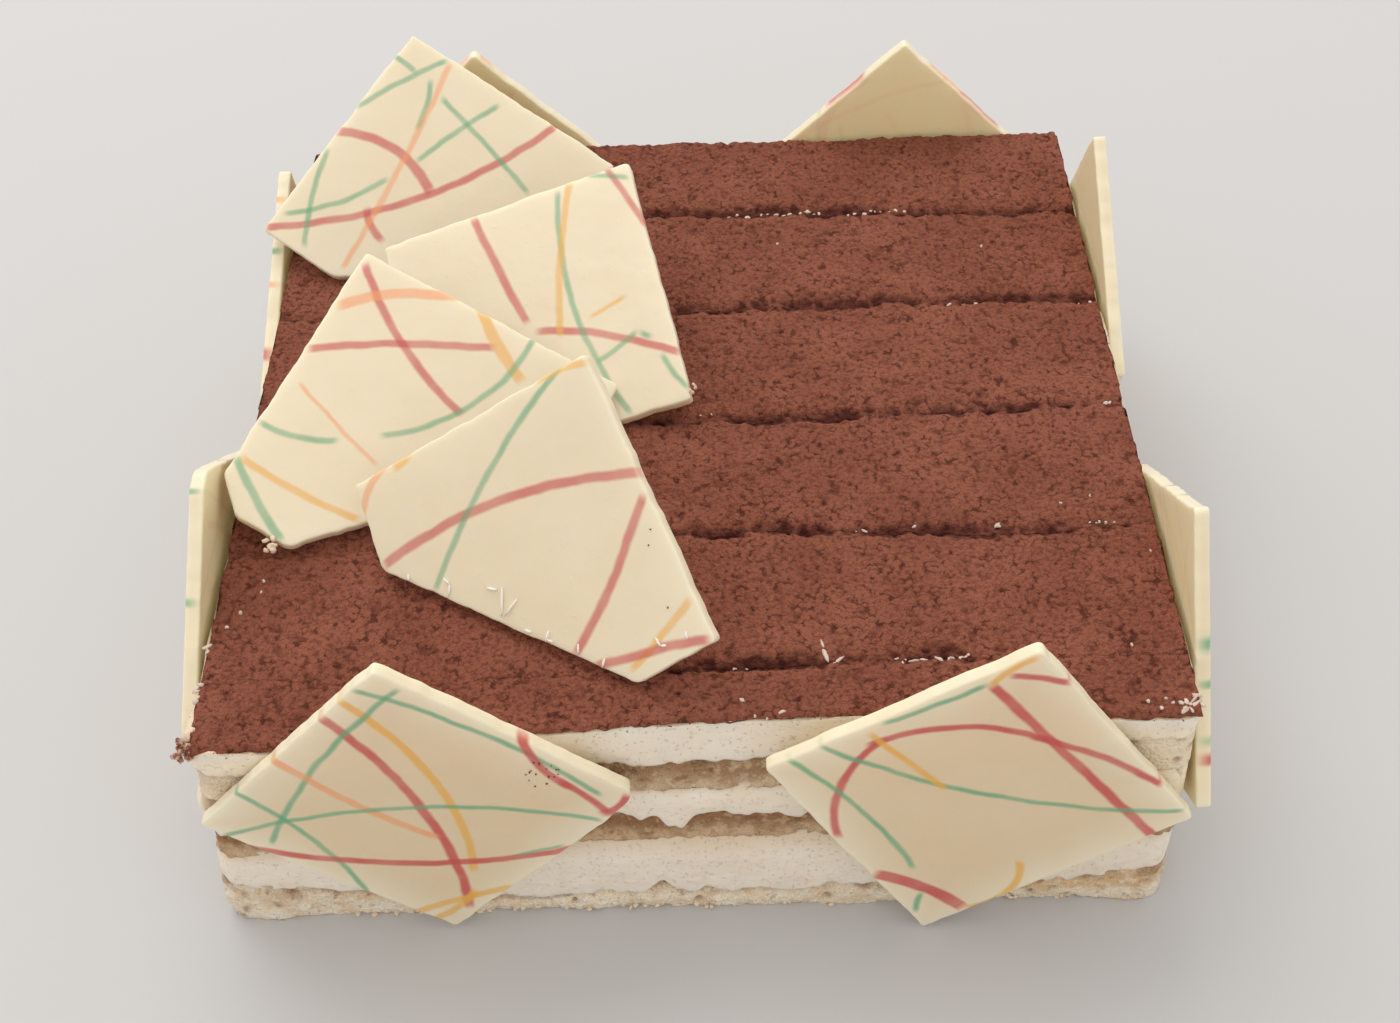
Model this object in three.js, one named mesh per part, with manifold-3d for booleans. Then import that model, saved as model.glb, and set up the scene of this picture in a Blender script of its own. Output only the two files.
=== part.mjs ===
// A square layered tiramisu cake with twelve white chocolate squares.
//
// Millimetres, +Z up, +X to the right, -Y to the front. The origin is the middle of the
// cake's flat underside. Three layers of sponge and three of cream lie under a thin crust of
// cocoa. The top cream is laid in six bands, and the crust follows its crests and grooves.
// Four chocolate squares, each with its lower corner cut off, lie on the top like roof tiles,
// and eight whole ones stand on a corner round the sides, leaning on the cake's upper edge.
import * as THREE from 'three';
import { mergeVertices } from 'three/addons/utils/BufferGeometryUtils.js';
import Module from 'manifold-3d';

const wasm = await Module();
wasm.setup();

// ---- driving dimensions ----
const CAKE_SIDE = 170; // width and depth over the cream
const CORNER_RADIUS = 4; // upright corners of the cake
const CRUST_LEVEL = 51.7; // mean height of the cocoa bands' crests
const CRUST_TWIST = 1.4; // front right corner this much higher, front left this much lower
const CRUST_SKIN = 0.9; // thickness of the cocoa crust
const LAYER_GAP = 0.4; // space between one layer and the next
const FIT_GAP = 0.35; // space round a chocolate square where it is bedded in the top

const TRIM = { reach: 1.05, above: 8 }; // what trims the top cream reaches past it by this

const WALL_STEPS = 18; // straight steps along each side of a layer
const CORNER_STEPS = 2; // steps round each upright corner
const CRUST_STEPS = 34; // steps of the crust across the cake
const CRUST_INSET = 0.6; // how far the crust stays inside the cream's wall
const CRUST_RAGGED = 0.7; // unevenness of the crust's edge
const CRUST_EDGE_FALL = 0.4; // how much lower the crust is at its edge
const CRUST_CORNER_PULL = 0.99; // draws the crust's four corner points inwards
const TWIST_START = 60; // Y at which the twist of the top begins, and how far it takes
const TWIST_REACH = 145;

const FRONT_BOW = 3.2; // how far the top front edge falls back near its middle
const FRONT_BOW_CENTRE = 15; // X of the deepest point, and how far the dent spreads
const FRONT_BOW_REACH = 48;
const FRONT_BOW_FOOT = 36; // height at which the dent begins, and how fast it deepens
const FRONT_BOW_RISE = 14;
const FRONT_BOW_DEPTH = 12; // how far back from the edge the crust still follows the dent

const WANDER = { height: 0.9, length: 31 }; // slow rise and fall of a layer on the hidden sides
const RIPPLE = { height: 0.5, length: 14 }; // and a quicker one
const FRONT_FADE = { from: 55, over: 28 }; // where the measured front heights take over
const SEED = 20411;

// Lines along which two cocoa bands meet, front to back, as Y.
const GROOVES = [-70.5, -39.3, -7.6, 24.8, 56.2];
const GROOVE_DEPTH = 1.3;
const GROOVE_WIDTH = 3.2; // on the far side of each line, where the band rises gently
const GROOVE_STEEP = 0.45; // share of that width on the near side
const GROOVE_WANDER = 1.0; // sideways drift of a groove along its length
const GROOVE_WANDER_LENGTH = 23;
const GROOVE_PHASE = 1.9; // shift of that drift from one groove to the next
const GROOVE_ROWS = [-2.2, 0, 3]; // rows of the crust at each groove, from its line
const BAND_ROWS = [0.33, 0.67]; // rows between one groove and the next, as shares
const EDGE_BAND = 4.5; // width of the crust's first and last strips
const CRAG_HEIGHT = 0.3; // unevenness of the dusted surface

const SHEET = 2.6; // thickness of the white chocolate
const SHEET_CORNER = 1.6; // its rounded corners
const SHEET_EDGE = 0.5; // its softened edge

const COLOURS = {
  sponge: { color: 0xb8946a, roughness: 0.95 },
  cream: { color: 0xe4d8c6, roughness: 0.6 },
  cocoa: { color: 0x7d4a3a, roughness: 0.98 },
  chocolate: { color: 0xe9dcc0, roughness: 0.4 },
};

// The layers from the board up. 'level' is the mean height of a layer's top, and 'front' is
// the same height along the front wall at FRONT_STATIONS, where the cut shows it. 'setback'
// is how far the wall stays behind the widest cream, at its foot, middle and top.
const FRONT_STATIONS = [-85, -58, -25, 0, 25, 58, 85];
const LAYERS = [
  { name: 'sponge_base', finish: 'sponge', level: 6.5, front: [11.5, 8, 4.8, 6, 6.3, 7.5, 10],
    setback: [0.1, -0.15, 0], ragged: 0.3 },
  { name: 'cream_lower', finish: 'cream', level: 21.5, front: [20.5, 20.6, 20.8, 21.3, 20.9, 20.8, 21.2],
    setback: [0.1, 0, 0.9], ragged: 0.2 },
  { name: 'sponge_middle', finish: 'sponge', level: 29.2, front: [26.4, 27.6, 28.8, 29.5, 29.6, 29.6, 29.5],
    setback: [1.5, 1.9, 1.6], ragged: 0.35 },
  { name: 'cream_middle', finish: 'cream', level: 36.4, front: [37.7, 36.5, 35.4, 35.6, 36.2, 37.8, 40],
    setback: [0.3, -0.1, 0.7], ragged: 0.2 },
  { name: 'sponge_upper', finish: 'sponge', level: 43.9, front: [44.2, 43.4, 43.2, 42.4, 43, 45.4, 48],
    setback: [1.2, 1.5, 1.3], ragged: 0.35 },
  { name: 'cream_upper', finish: 'cream', level: CRUST_LEVEL + CRUST_TWIST, front: null,
    setback: [0.4, 0.1, 0.3], ragged: 0.2 },
];

// The chocolate squares, 52 mm along an edge. 'at' is the middle of the printed face,
// 'facing' and 'lift' are the compass angle and the elevation of that face's outward
// direction in degrees, and the corners are millimetres to the right and up, as seen by
// someone looking squarely at the face. A square that is 'bedded' rests on the cocoa by the
// cut that took its lower corner off.
const SQUARES = [
  { name: 'shard_top_1', at: [-51.4, 50.1, 62.9], facing: -90, lift: 56,
    corners: [[-6, 37], [37, 6], [20.5, -16.8], [-22.3, -16.8], [-37.5, -6]], bedded: true },
  { name: 'shard_top_2', at: [-30.3, 11.3, 61.3], facing: -114, lift: 60.5,
    corners: [[-36.5, 6.5], [7, 36.8], [37, -7], [24, -15.6], [-20.8, -15.6]], bedded: true },
  { name: 'shard_top_3', at: [-49, -18.5, 60.5], facing: -68, lift: 63,
    corners: [[1, 37.8], [37.8, -2.5], [25.5, -14.4], [-30.4, -14.4], [-37.4, -6], [-37.2, 2.6]], bedded: true },
  { name: 'shard_top_4', at: [-27.8, -54.5, 62.6], facing: -121, lift: 39,
    corners: [[-1, 37], [37.5, 0], [26.4, -12.4], [-26.8, -12.4], [-37.5, 0]], bedded: true },
  { name: 'shard_front_left', at: [-47.2, -88.1, 39], facing: -90, lift: 0,
    corners: [[-2, 35], [36, 2.5], [1, -38.6], [-37.4, -4.5]] },
  { name: 'shard_front_right', at: [48.5, -88.7, 38.2], facing: -90, lift: 2.5,
    corners: [[6.5, 35.5], [36.8, -7.5], [-8, -38], [-37, 8.5]] },
  { name: 'shard_right_front', at: [88.4, -51.3, 37.6], facing: 0, lift: 2.1,
    corners: [[-5.6, 36], [35.5, 6.5], [6, -37.2], [-35.5, -7.5]] },
  { name: 'shard_right_back', at: [88.4, 44.3, 38.8], facing: 0, lift: 2.1,
    corners: [[-35.8, 5.8], [5.8, 35.6], [36, -5.6], [-5.5, -36]] },
  { name: 'shard_left_front', at: [-88.8, -36.8, 38], facing: 180, lift: 2.1,
    corners: [[-37.5, 1.5], [-1.5, 29.6], [3, 29], [37.5, 3], [0.5, -37.6]] },
  { name: 'shard_left_back', at: [-88.4, 46, 37], facing: 180, lift: 2.1,
    corners: [[-37.5, -16], [-17, 25], [33, 3.6], [12, -36.6]] },
  { name: 'shard_back_left', at: [-45.5, 88.3, 38.2], facing: 90, lift: 1.5,
    corners: [[-36.8, 0.5], [0, 37], [36.8, 1], [-0.5, -37.8]] },
  { name: 'shard_back_right', at: [48.4, 88.4, 37.6], facing: 90, lift: 2,
    corners: [[-37.3, -0.5], [-0.4, 37.8], [36.5, 1], [0.5, -37.2]] },
];

// ---- small helpers ----
const clamp01 = (t) => Math.min(1, Math.max(0, t));
const smooth = (t) => clamp01(t) ** 2 * (3 - 2 * clamp01(t));

// A seeded random source, the same on every run.
function randomFrom(seed) {
  let state = seed;
  return () => {
    state = (state * 1664525 + 1013904223) % 4294967296;
    return state / 4294967296;
  };
}

// A value read off a row of stations, straight between neighbours.
function along(stations, values, x) {
  const last = stations.length - 1;
  const inside = Math.min(stations[last], Math.max(stations[0], x));
  const i = Math.min(last - 1, stations.findIndex((s, j) => j < last && inside <= stations[j + 1]));
  return values[i] + ((values[i + 1] - values[i]) * (inside - stations[i])) / (stations[i + 1] - stations[i]);
}

// How far the top front edge falls back, which fades out below the upper cream.
const bow = (x) => FRONT_BOW * Math.exp(-(((x - FRONT_BOW_CENTRE) / FRONT_BOW_REACH) ** 2));

function toSolid(geometry) {
  const bare = geometry.clone();
  bare.deleteAttribute('normal');
  bare.deleteAttribute('uv');
  const merged = mergeVertices(bare, 1e-4);
  const mesh = new wasm.Mesh({
    numProp: 3,
    vertProperties: new Float32Array(merged.attributes.position.array),
    triVerts: new Uint32Array(merged.index.array),
  });
  return new wasm.Manifold(mesh);
}

function toGeometry(solid) {
  const mesh = solid.getMesh();
  const geometry = new THREE.BufferGeometry();
  geometry.setAttribute('position', new THREE.BufferAttribute(new Float32Array(mesh.vertProperties), 3));
  geometry.setIndex(new THREE.BufferAttribute(new Uint32Array(mesh.triVerts), 1));
  geometry.computeVertexNormals();
  return geometry;
}

// ---- the outline that every layer shares ----
// Points round a square with rounded corners, anticlockwise from the front left, each with
// the outward direction of the wall there.
function wallOutline() {
  const half = CAKE_SIDE / 2;
  const straight = half - CORNER_RADIUS;
  const points = [];
  for (let side = 0; side < 4; side += 1) {
    const turn = (side * Math.PI) / 2;
    const place = (u, v, nu, nv) => points.push({
      x: u * Math.cos(turn) - v * Math.sin(turn),
      y: u * Math.sin(turn) + v * Math.cos(turn),
      nx: nu * Math.cos(turn) - nv * Math.sin(turn),
      ny: nu * Math.sin(turn) + nv * Math.cos(turn),
    });
    for (let i = 0; i <= WALL_STEPS; i += 1) {
      place(-straight + (2 * straight * i) / WALL_STEPS, -half, 0, -1);
    }
    for (let i = 1; i < CORNER_STEPS; i += 1) {
      const a = -Math.PI / 2 + (i * Math.PI) / 2 / CORNER_STEPS;
      place(straight + CORNER_RADIUS * Math.cos(a), -straight + CORNER_RADIUS * Math.sin(a), Math.cos(a), Math.sin(a));
    }
  }
  return points;
}

const WALL = wallOutline();

// Heights of a layer's top round the wall: the cut front follows its stations, and the
// other sides wander gently about the mean level. The top cream is level until it is trimmed.
function topHeights(layer, random) {
  const phase = random() * Math.PI * 2;
  return WALL.map(({ x, y }) => {
    if (!layer.front) return layer.level;
    const wander = WANDER.height * Math.sin((x + 1.7 * y) / WANDER.length + phase);
    const ripple = RIPPLE.height * Math.sin((1.3 * x - y) / RIPPLE.length + 2 * phase);
    const elsewhere = layer.level + wander + ripple;
    const atFront = smooth((-y - FRONT_FADE.from) / FRONT_FADE.over);
    const measured = along(FRONT_STATIONS, layer.front, x);
    return atFront * measured + (1 - atFront) * elsewhere + (random() - 0.5) * layer.ragged;
  });
}

// One layer: rings of wall points at the foot, middle and top, closed by a fan above and below.
function layerGeometry(layer, foot, head, footLevel, headLevel, random) {
  const count = WALL.length;
  const frontWall = -CAKE_SIDE / 2 + CORNER_RADIUS;
  const positions = [];
  const wobble = WALL.map(() => (random() - 0.5) * 2 * layer.ragged);
  layer.setback.forEach((setback, row) => {
    const t = row / (layer.setback.length - 1);
    WALL.forEach(({ x, y, nx, ny }, i) => {
      const z = foot[i] + (head[i] - foot[i]) * t;
      const fallBack = y < frontWall ? bow(x) * smooth((z - FRONT_BOW_FOOT) / FRONT_BOW_RISE) : 0;
      const inset = setback + wobble[i] * (0.6 + 0.4 * Math.sin(3 * row + i)) + layer.ragged;
      positions.push(x - nx * inset, y - ny * inset + fallBack, z);
    });
  });
  const rows = layer.setback.length;
  const footCentre = positions.length / 3;
  positions.push(0, 0, footLevel);
  positions.push(0, 0, headLevel);
  const index = [];
  for (let i = 0; i < count; i += 1) {
    const j = (i + 1) % count;
    for (let row = 0; row < rows - 1; row += 1) {
      const a = row * count;
      const b = a + count;
      index.push(a + i, a + j, b + j, a + i, b + j, b + i);
    }
    const topRow = (rows - 1) * count;
    index.push(footCentre, j, i);
    index.push(footCentre + 1, topRow + i, topRow + j);
  }
  const geometry = new THREE.BufferGeometry();
  geometry.setAttribute('position', new THREE.Float32BufferAttribute(positions, 3));
  geometry.setIndex(index);
  return geometry;
}

// ---- the cocoa crust ----
// Height of the crust: six bands, each a low dome. A band falls steeply to the groove behind
// it, and rises gently from the groove in front, so that the bands seem to overlap.
function crustHeight(x, y) {
  const twist = (x / (CAKE_SIDE / 2)) * smooth((TWIST_START - y) / TWIST_REACH);
  const level = CRUST_LEVEL + CRUST_TWIST * twist;
  let dip = 0;
  GROOVES.forEach((line, i) => {
    const wandered = line + GROOVE_WANDER * Math.sin(x / GROOVE_WANDER_LENGTH + i * GROOVE_PHASE);
    const off = y - wandered;
    const reach = off > 0 ? GROOVE_WIDTH : GROOVE_WIDTH * GROOVE_STEEP;
    dip = Math.max(dip, Math.exp(-((off / reach) ** 2)));
  });
  return level - GROOVE_DEPTH * dip;
}

// Rows of the crust, front to back: close together at each groove and wide on the domes.
function crustRows(front, back) {
  const rows = [front, front + EDGE_BAND];
  const [before, , behind] = GROOVE_ROWS;
  GROOVES.forEach((line, i) => {
    const next = i + 1 < GROOVES.length ? GROOVES[i + 1] + before : back - EDGE_BAND;
    const start = line + behind;
    GROOVE_ROWS.forEach((offset) => rows.push(line + offset));
    BAND_ROWS.forEach((share) => rows.push(start + (next - start) * share));
  });
  rows.push(back - EDGE_BAND, back);
  return rows;
}

// The points of the dusted surface, row by row, with the crags and the ragged edge.
function crustPoints(random) {
  const half = CAKE_SIDE / 2 - CRUST_INSET;
  const rows = crustRows(-half, half);
  const sideEnd = (i) => i === 0 || i === CRUST_STEPS;
  const rowEnd = (r) => r === 0 || r === rows.length - 1;
  return rows.map((row, r) => Array.from({ length: CRUST_STEPS + 1 }, (_, i) => {
    const pull = sideEnd(i) && rowEnd(r) ? CRUST_CORNER_PULL : 1;
    const x = pull * (-half + (2 * half * i) / CRUST_STEPS);
    const y = pull * row + bow(x) * smooth((FRONT_BOW_DEPTH - half - row) / FRONT_BOW_DEPTH);
    const atEdge = sideEnd(i) || rowEnd(r);
    const ragged = atEdge ? CRUST_RAGGED : 0;
    const crag = (random() - 0.5) * 2 * CRAG_HEIGHT - (atEdge ? CRUST_EDGE_FALL : 0);
    const z = crustHeight(x, y) + crag;
    return [x + (random() - 0.5) * ragged, y + (random() - 0.5) * ragged, z];
  }));
}

// The same points with one more ring round them, pushed outwards past the cake's walls.
function widened(points, reach) {
  const push = ([x, y, z]) => [x * reach, y * reach, z];
  const rows = points.map((row) => [push(row[0]), ...row, push(row[row.length - 1])]);
  return [rows[0].map(push), ...rows, rows[rows.length - 1].map(push)];
}

// A slab between two copies of the dusted surface, one 'above' it and one 'below'.
function slabGeometry(points, above, below) {
  const columns = points[0].length;
  const lastRow = points.length - 1;
  const positions = [];
  [above, -below].forEach((shift) => points.forEach((row) => row.forEach(([x, y, z]) => {
    positions.push(x, y, z + shift);
  })));
  const at = (i, r) => r * columns + i;
  const under = points.length * columns;
  const index = [];
  for (let r = 0; r < lastRow; r += 1) {
    for (let i = 0; i < columns - 1; i += 1) {
      const [a, b, c, d] = [at(i, r), at(i + 1, r), at(i + 1, r + 1), at(i, r + 1)];
      index.push(a, b, c, a, c, d);
      index.push(under + a, under + c, under + b, under + a, under + d, under + c);
    }
  }
  const rim = [];
  for (let i = 0; i < columns - 1; i += 1) rim.push(at(i, 0));
  for (let r = 0; r < lastRow; r += 1) rim.push(at(columns - 1, r));
  for (let i = columns - 1; i > 0; i -= 1) rim.push(at(i, lastRow));
  for (let r = lastRow; r > 0; r -= 1) rim.push(at(0, r));
  rim.forEach((v, k) => {
    const next = rim[(k + 1) % rim.length];
    index.push(v, under + v, under + next, v, under + next, next);
  });
  const geometry = new THREE.BufferGeometry();
  geometry.setAttribute('position', new THREE.Float32BufferAttribute(positions, 3));
  geometry.setIndex(index);
  return geometry;
}

// ---- the chocolate squares ----
// The square's outline with each corner rounded by a curve.
function sheetShape(corners) {
  const shape = new THREE.Shape();
  const points = corners.map(([u, v]) => new THREE.Vector2(u, v));
  if (THREE.ShapeUtils.isClockWise(points)) points.reverse();
  points.forEach((corner, i) => {
    const before = points[(i + points.length - 1) % points.length];
    const after = points[(i + 1) % points.length];
    const enter = corner.clone().lerp(before, Math.min(0.4, SHEET_CORNER / corner.distanceTo(before)));
    const leave = corner.clone().lerp(after, Math.min(0.4, SHEET_CORNER / corner.distanceTo(after)));
    if (i === 0) shape.moveTo(enter.x, enter.y);
    else shape.lineTo(enter.x, enter.y);
    shape.quadraticCurveTo(corner.x, corner.y, leave.x, leave.y);
  });
  return shape;
}

// The sheet of chocolate behind its printed face, grown all round by 'grow'.
function sheetGeometry(square, grow) {
  const geometry = new THREE.ExtrudeGeometry(sheetShape(square.corners), {
    depth: SHEET - 2 * SHEET_EDGE + 2 * grow,
    bevelEnabled: true,
    bevelThickness: SHEET_EDGE,
    bevelSize: SHEET_EDGE + grow,
    bevelOffset: -SHEET_EDGE,
    bevelSegments: 1,
    curveSegments: 2,
  });
  geometry.translate(0, 0, SHEET_EDGE - SHEET - grow);
  return geometry;
}

// Where the square stands: its own right and up directions, and the way its face looks.
function sheetPlace(square) {
  const facing = THREE.MathUtils.degToRad(square.facing);
  const lift = THREE.MathUtils.degToRad(square.lift);
  const out = new THREE.Vector3(
    Math.cos(lift) * Math.cos(facing), Math.cos(lift) * Math.sin(facing), Math.sin(lift));
  const up = new THREE.Vector3(0, 0, 1).addScaledVector(out, -Math.sin(lift)).normalize();
  const right = new THREE.Vector3().crossVectors(up, out);
  const turn = new THREE.Matrix4().makeBasis(right, up, out);
  return { position: new THREE.Vector3(...square.at), rotation: new THREE.Euler().setFromRotationMatrix(turn) };
}

// The solids that cut the seats of the four top squares in the layers that they are bedded in.
function seatCutters() {
  return SQUARES.filter((square) => square.bedded).map((square) => {
    const place = sheetPlace(square);
    const geometry = sheetGeometry(square, FIT_GAP);
    geometry.applyMatrix4(new THREE.Matrix4().makeRotationFromEuler(place.rotation));
    geometry.translate(place.position.x, place.position.y, place.position.z);
    return toSolid(geometry);
  });
}

function cutBy(geometry, cutters) {
  let solid = toSolid(geometry);
  cutters.forEach((cutter) => {
    solid = solid.subtract(cutter);
  });
  const pieces = solid.decompose().sort((a, b) => b.volume() - a.volume());
  return toGeometry(pieces[0]);
}

// ---- the cake ----
function finish(name) {
  const { color, roughness } = COLOURS[name];
  return new THREE.MeshStandardMaterial({ color, roughness, metalness: 0 });
}

function named(name, geometry, material) {
  const mesh = new THREE.Mesh(geometry, material);
  mesh.name = name;
  return mesh;
}

const cake = new THREE.Group();
const seats = seatCutters();
const crust = crustPoints(randomFrom(SEED));
const trim = toSolid(slabGeometry(widened(crust, TRIM.reach), TRIM.above, CRUST_SKIN + LAYER_GAP));
const random = randomFrom(SEED + 1);

let foot = WALL.map(() => 0);
let footLevel = 0;
LAYERS.forEach((layer) => {
  const tops = topHeights(layer, random);
  const head = tops.map((z) => z - LAYER_GAP / 2);
  const geometry = layerGeometry(layer, foot, head, footLevel, layer.level - LAYER_GAP / 2, random);
  const cutters = layer.front ? seats : [trim, ...seats];
  cake.add(named(layer.name, cutBy(geometry, cutters), finish(layer.finish)));
  foot = tops.map((z) => z + LAYER_GAP / 2);
  footLevel = layer.level + LAYER_GAP / 2;
});

cake.add(named('cocoa_top', cutBy(slabGeometry(crust, 0, CRUST_SKIN), seats), finish('cocoa')));

SQUARES.forEach((square) => {
  const place = sheetPlace(square);
  const mesh = named(square.name, sheetGeometry(square, 0), finish('chocolate'));
  mesh.position.copy(place.position);
  mesh.rotation.copy(place.rotation);
  cake.add(mesh);
});

export default cake;
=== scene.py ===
"""A square tiramisu cake with drizzled squares of white chocolate on its top and round its sides.

Every shape is a sweep of points worked out in millimetres in the cake's own frame and put into a mesh in
metres. The sections follow the cake as it is put together: sponge and cream from the foot up, the cocoa, the
squares, and last the crumbs and shavings.
"""
import itertools

import bpy
import numpy as np
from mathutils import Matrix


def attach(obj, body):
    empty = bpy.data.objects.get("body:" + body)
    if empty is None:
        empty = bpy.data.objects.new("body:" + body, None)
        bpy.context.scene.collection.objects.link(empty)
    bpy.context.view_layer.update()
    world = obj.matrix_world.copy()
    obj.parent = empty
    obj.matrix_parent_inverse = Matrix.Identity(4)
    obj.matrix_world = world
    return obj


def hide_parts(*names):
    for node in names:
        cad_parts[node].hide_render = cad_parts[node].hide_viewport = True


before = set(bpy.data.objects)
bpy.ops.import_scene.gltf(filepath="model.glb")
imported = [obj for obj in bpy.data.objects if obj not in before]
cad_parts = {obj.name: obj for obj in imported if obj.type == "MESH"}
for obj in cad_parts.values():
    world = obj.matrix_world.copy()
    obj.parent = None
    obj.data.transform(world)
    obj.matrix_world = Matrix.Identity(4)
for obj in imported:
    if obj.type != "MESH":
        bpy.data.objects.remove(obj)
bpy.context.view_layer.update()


# ---- The view ----
# The cake is seen from the front and from 44 degrees above, by a camera held almost level. It stands on a
# plain pale floor in soft light: a bright surround, and one broad lamp above and behind it.
MM = 0.001
CAMERA_PLACE = (4.6, -275.9, 300.2)
CAMERA_TURN = (44.296, 1.330, -0.739)
CAMERA_LENS = 48.61
CAMERA_NEAR = 0.01
FLOOR_REACH = 4000
LAMP_PLACE = (-450, 900, 1400)
LAMP_SIZE = 1500
LAMP_POWER = 13
LAMP_COLOUR = (1.0, 0.97, 0.92)
SURROUND = 0.88
SURROUND_COLOUR = (1.0, 0.955, 0.91, 1)


def paint(red, green, blue):
    """The linear colour that a shader takes, from a colour given as screen numbers from 0 to 255."""
    share = np.array((red, green, blue)) / 255
    linear = np.where(share <= 0.04045, share / 12.92, ((share + 0.055) / 1.055) ** 2.4)
    return (*linear.tolist(), 1.0)


def add(tree, kind, values=(), **settings):
    """A new shader node. 'settings' are its own properties. 'values' pairs each input with a number, a
    colour or another node's output."""
    made = tree.nodes.new("ShaderNode" + kind)
    for name, value in settings.items():
        setattr(made, name, value)
    for socket, value in dict(values).items():
        if isinstance(value, bpy.types.NodeSocket):
            tree.links.new(value, made.inputs[socket])
        else:
            made.inputs[socket].default_value = value
    return made


def finish(name, roughness):
    """An empty material: its node tree, and its Principled shader with that roughness."""
    material = bpy.data.materials.new(name)
    material.use_nodes = True
    shader = material.node_tree.nodes["Principled BSDF"]
    shader.inputs["Roughness"].default_value = roughness
    return material, material.node_tree, shader


def plain_finish(name, roughness, colour):
    """A material of one colour all over."""
    material, _, shader = finish(name, roughness)
    shader.inputs["Base Color"].default_value = colour
    return material


def put(name, data):
    """An object at the origin that holds this mesh, camera or light."""
    made = bpy.data.objects.new(name, data)
    bpy.context.scene.collection.objects.link(made)
    return made


def show(name, mesh, material):
    """A mesh at the origin that wears one material."""
    mesh.materials.append(material)
    return put(name, mesh)


camera = put("camera", bpy.data.cameras.new("camera"))
camera.data.lens = CAMERA_LENS
camera.data.clip_start = CAMERA_NEAR
camera.location = np.array(CAMERA_PLACE) * MM
camera.rotation_euler = np.radians(CAMERA_TURN)
bpy.context.scene.camera = camera
bpy.context.scene.view_settings.view_transform = "Standard"

lamp = put("lamp", bpy.data.lights.new("lamp", "AREA"))
lamp.data.size = LAMP_SIZE * MM
lamp.data.energy = LAMP_POWER
lamp.data.color = LAMP_COLOUR
lamp.location = np.array(LAMP_PLACE) * MM
lamp.rotation_euler = lamp.location.to_track_quat("Z", "Y").to_euler()

surround = bpy.data.worlds.new("surround")
surround.use_nodes = True
sky = surround.node_tree.nodes["Background"].inputs
sky["Color"].default_value = SURROUND_COLOUR
sky["Strength"].default_value = SURROUND
bpy.context.scene.world = surround

floor_mesh = bpy.data.meshes.new("floor")
floor_corners = np.array([(-1, -1, 0), (1, -1, 0), (1, 1, 0), (-1, 1, 0)]) * FLOOR_REACH * MM
floor_mesh.from_pydata(floor_corners.tolist(), [], [(0, 1, 2, 3)])
FLOOR_COLOUR = paint(203, 204, 206)
show("floor", floor_mesh, plain_finish("floor", 0.8, FLOOR_COLOUR))


# ---- The base sponge ----
# The lowest layer is a thin sheet of pale, open sponge, cut with a knife, so its wall is a rough face of
# crumb and holes. It carries the cake, and its underside is flat.
HALF = 85.0
CORNER = 4.0
WALL_STEP = 0.45
CAP_SHARES = (0.99, 0.97, 0.9, 0.6, 0.2)
RIM_REACH = HALF - 4.5
EMBED = 0.45
# Each edge of a layer wanders by three noises, given as their height and their size.
LIP_WAVES = ((0.5, 8), (0.45, 2.9), (0.75, 1.3))
# The front wall falls back most at the X of the bow's middle, and the higher the more.
BOW_MIDDLE, BOW_DEPTH, BOW_REACH = 15, 3.2, 48
BOW_START, BOW_RISE = 36, 14
# The front left corner bulges in a belt at one height, and splays out below another.
BULGE_OUT, BULGE_HEIGHT, BULGE_REACH = 1.1, 34, 3.5
SPLAY_OUT, SPLAY_HEIGHT, SPLAY_REACH = 1.7, 28, 20
# Where the knife has dragged each front corner: how far out to the side, and then to the front, the drag
# starts, and the run in which it is full. Then how far crumb and cream are mixed there.
RIGHT_DRAG = ((62, 14), (56, 20))
LEFT_DRAG = ((68, 10), (64, 14))
RIGHT_MIX, LEFT_MIX = 0.95, 0.75
PIT_SIZE, PIT_SEED = 1.5, 91
SPONGE_COLOUR = paint(255, 244, 224)
SPONGE_SHADE = paint(230, 194, 148)
# The colour of painted shade in the sponge's holes and pits, and in the line under its head.
SPONGE_HOLE_SHADE = paint(140, 94, 58)
MIXED_COLOUR = paint(255, 238, 210)


def cell_value(cell, seed):
    """A repeatable random number from 0 to 1 for each whole-numbered cell: its three numbers are folded
    together with large odd factors, stirred, and the last bits kept."""
    folded = (cell * np.array([73856093, 19349663, 83492791])).sum(axis=-1) + seed * 2654435761
    folded = (folded ^ (folded >> 13)) * 1274126177
    folded = folded ^ (folded >> 16)
    return (folded & 0xFFFFFF) / float(0x1000000)


def noise(points, size, seed):
    """Smooth noise from -1 to 1: random values on a lattice of cubes of that size, blended between the eight
    corners of a cube by a curve that is level at both ends."""
    spot = points / size
    cell = np.floor(spot).astype(np.int64)
    part = spot - cell
    part = part * part * (3 - 2 * part)
    total = np.zeros(points.shape[:-1])
    for corner in itertools.product((0, 1), repeat=3):
        weight = np.prod(np.where(np.array(corner) == 1, part, 1 - part), axis=-1)
        total += weight * cell_value(cell + np.array(corner), seed)
    return 2 * total - 1


def clumps(points, size, seed, layers=(-1, 0, 1)):
    """Rounded clumps from 0 to 1: every cube of that size holds one random centre, and the value is 1 there
    and falls evenly with the distance to the nearest centre."""
    spot = points / size
    cell = np.floor(spot).astype(np.int64)
    nearest = np.full(points.shape[:-1], 4.0)
    for step in itertools.product((-1, 0, 1), (-1, 0, 1), layers):
        other = cell + np.array(step)
        centre = np.stack([cell_value(other, seed + axis) for axis in range(3)], axis=-1)
        if len(layers) == 1:
            centre[..., 2] = spot[..., 2] - other[..., 2]
        nearest = np.minimum(nearest, np.sum((spot - other - centre) ** 2, axis=-1))
    return np.clip(1 - np.sqrt(nearest), 0, 1)


def waves(points, *parts):
    """A sum of smooth noises, each given as its height, its size and its seed."""
    return sum(height * noise(points, size, seed) for height, size, seed in parts)


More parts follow.
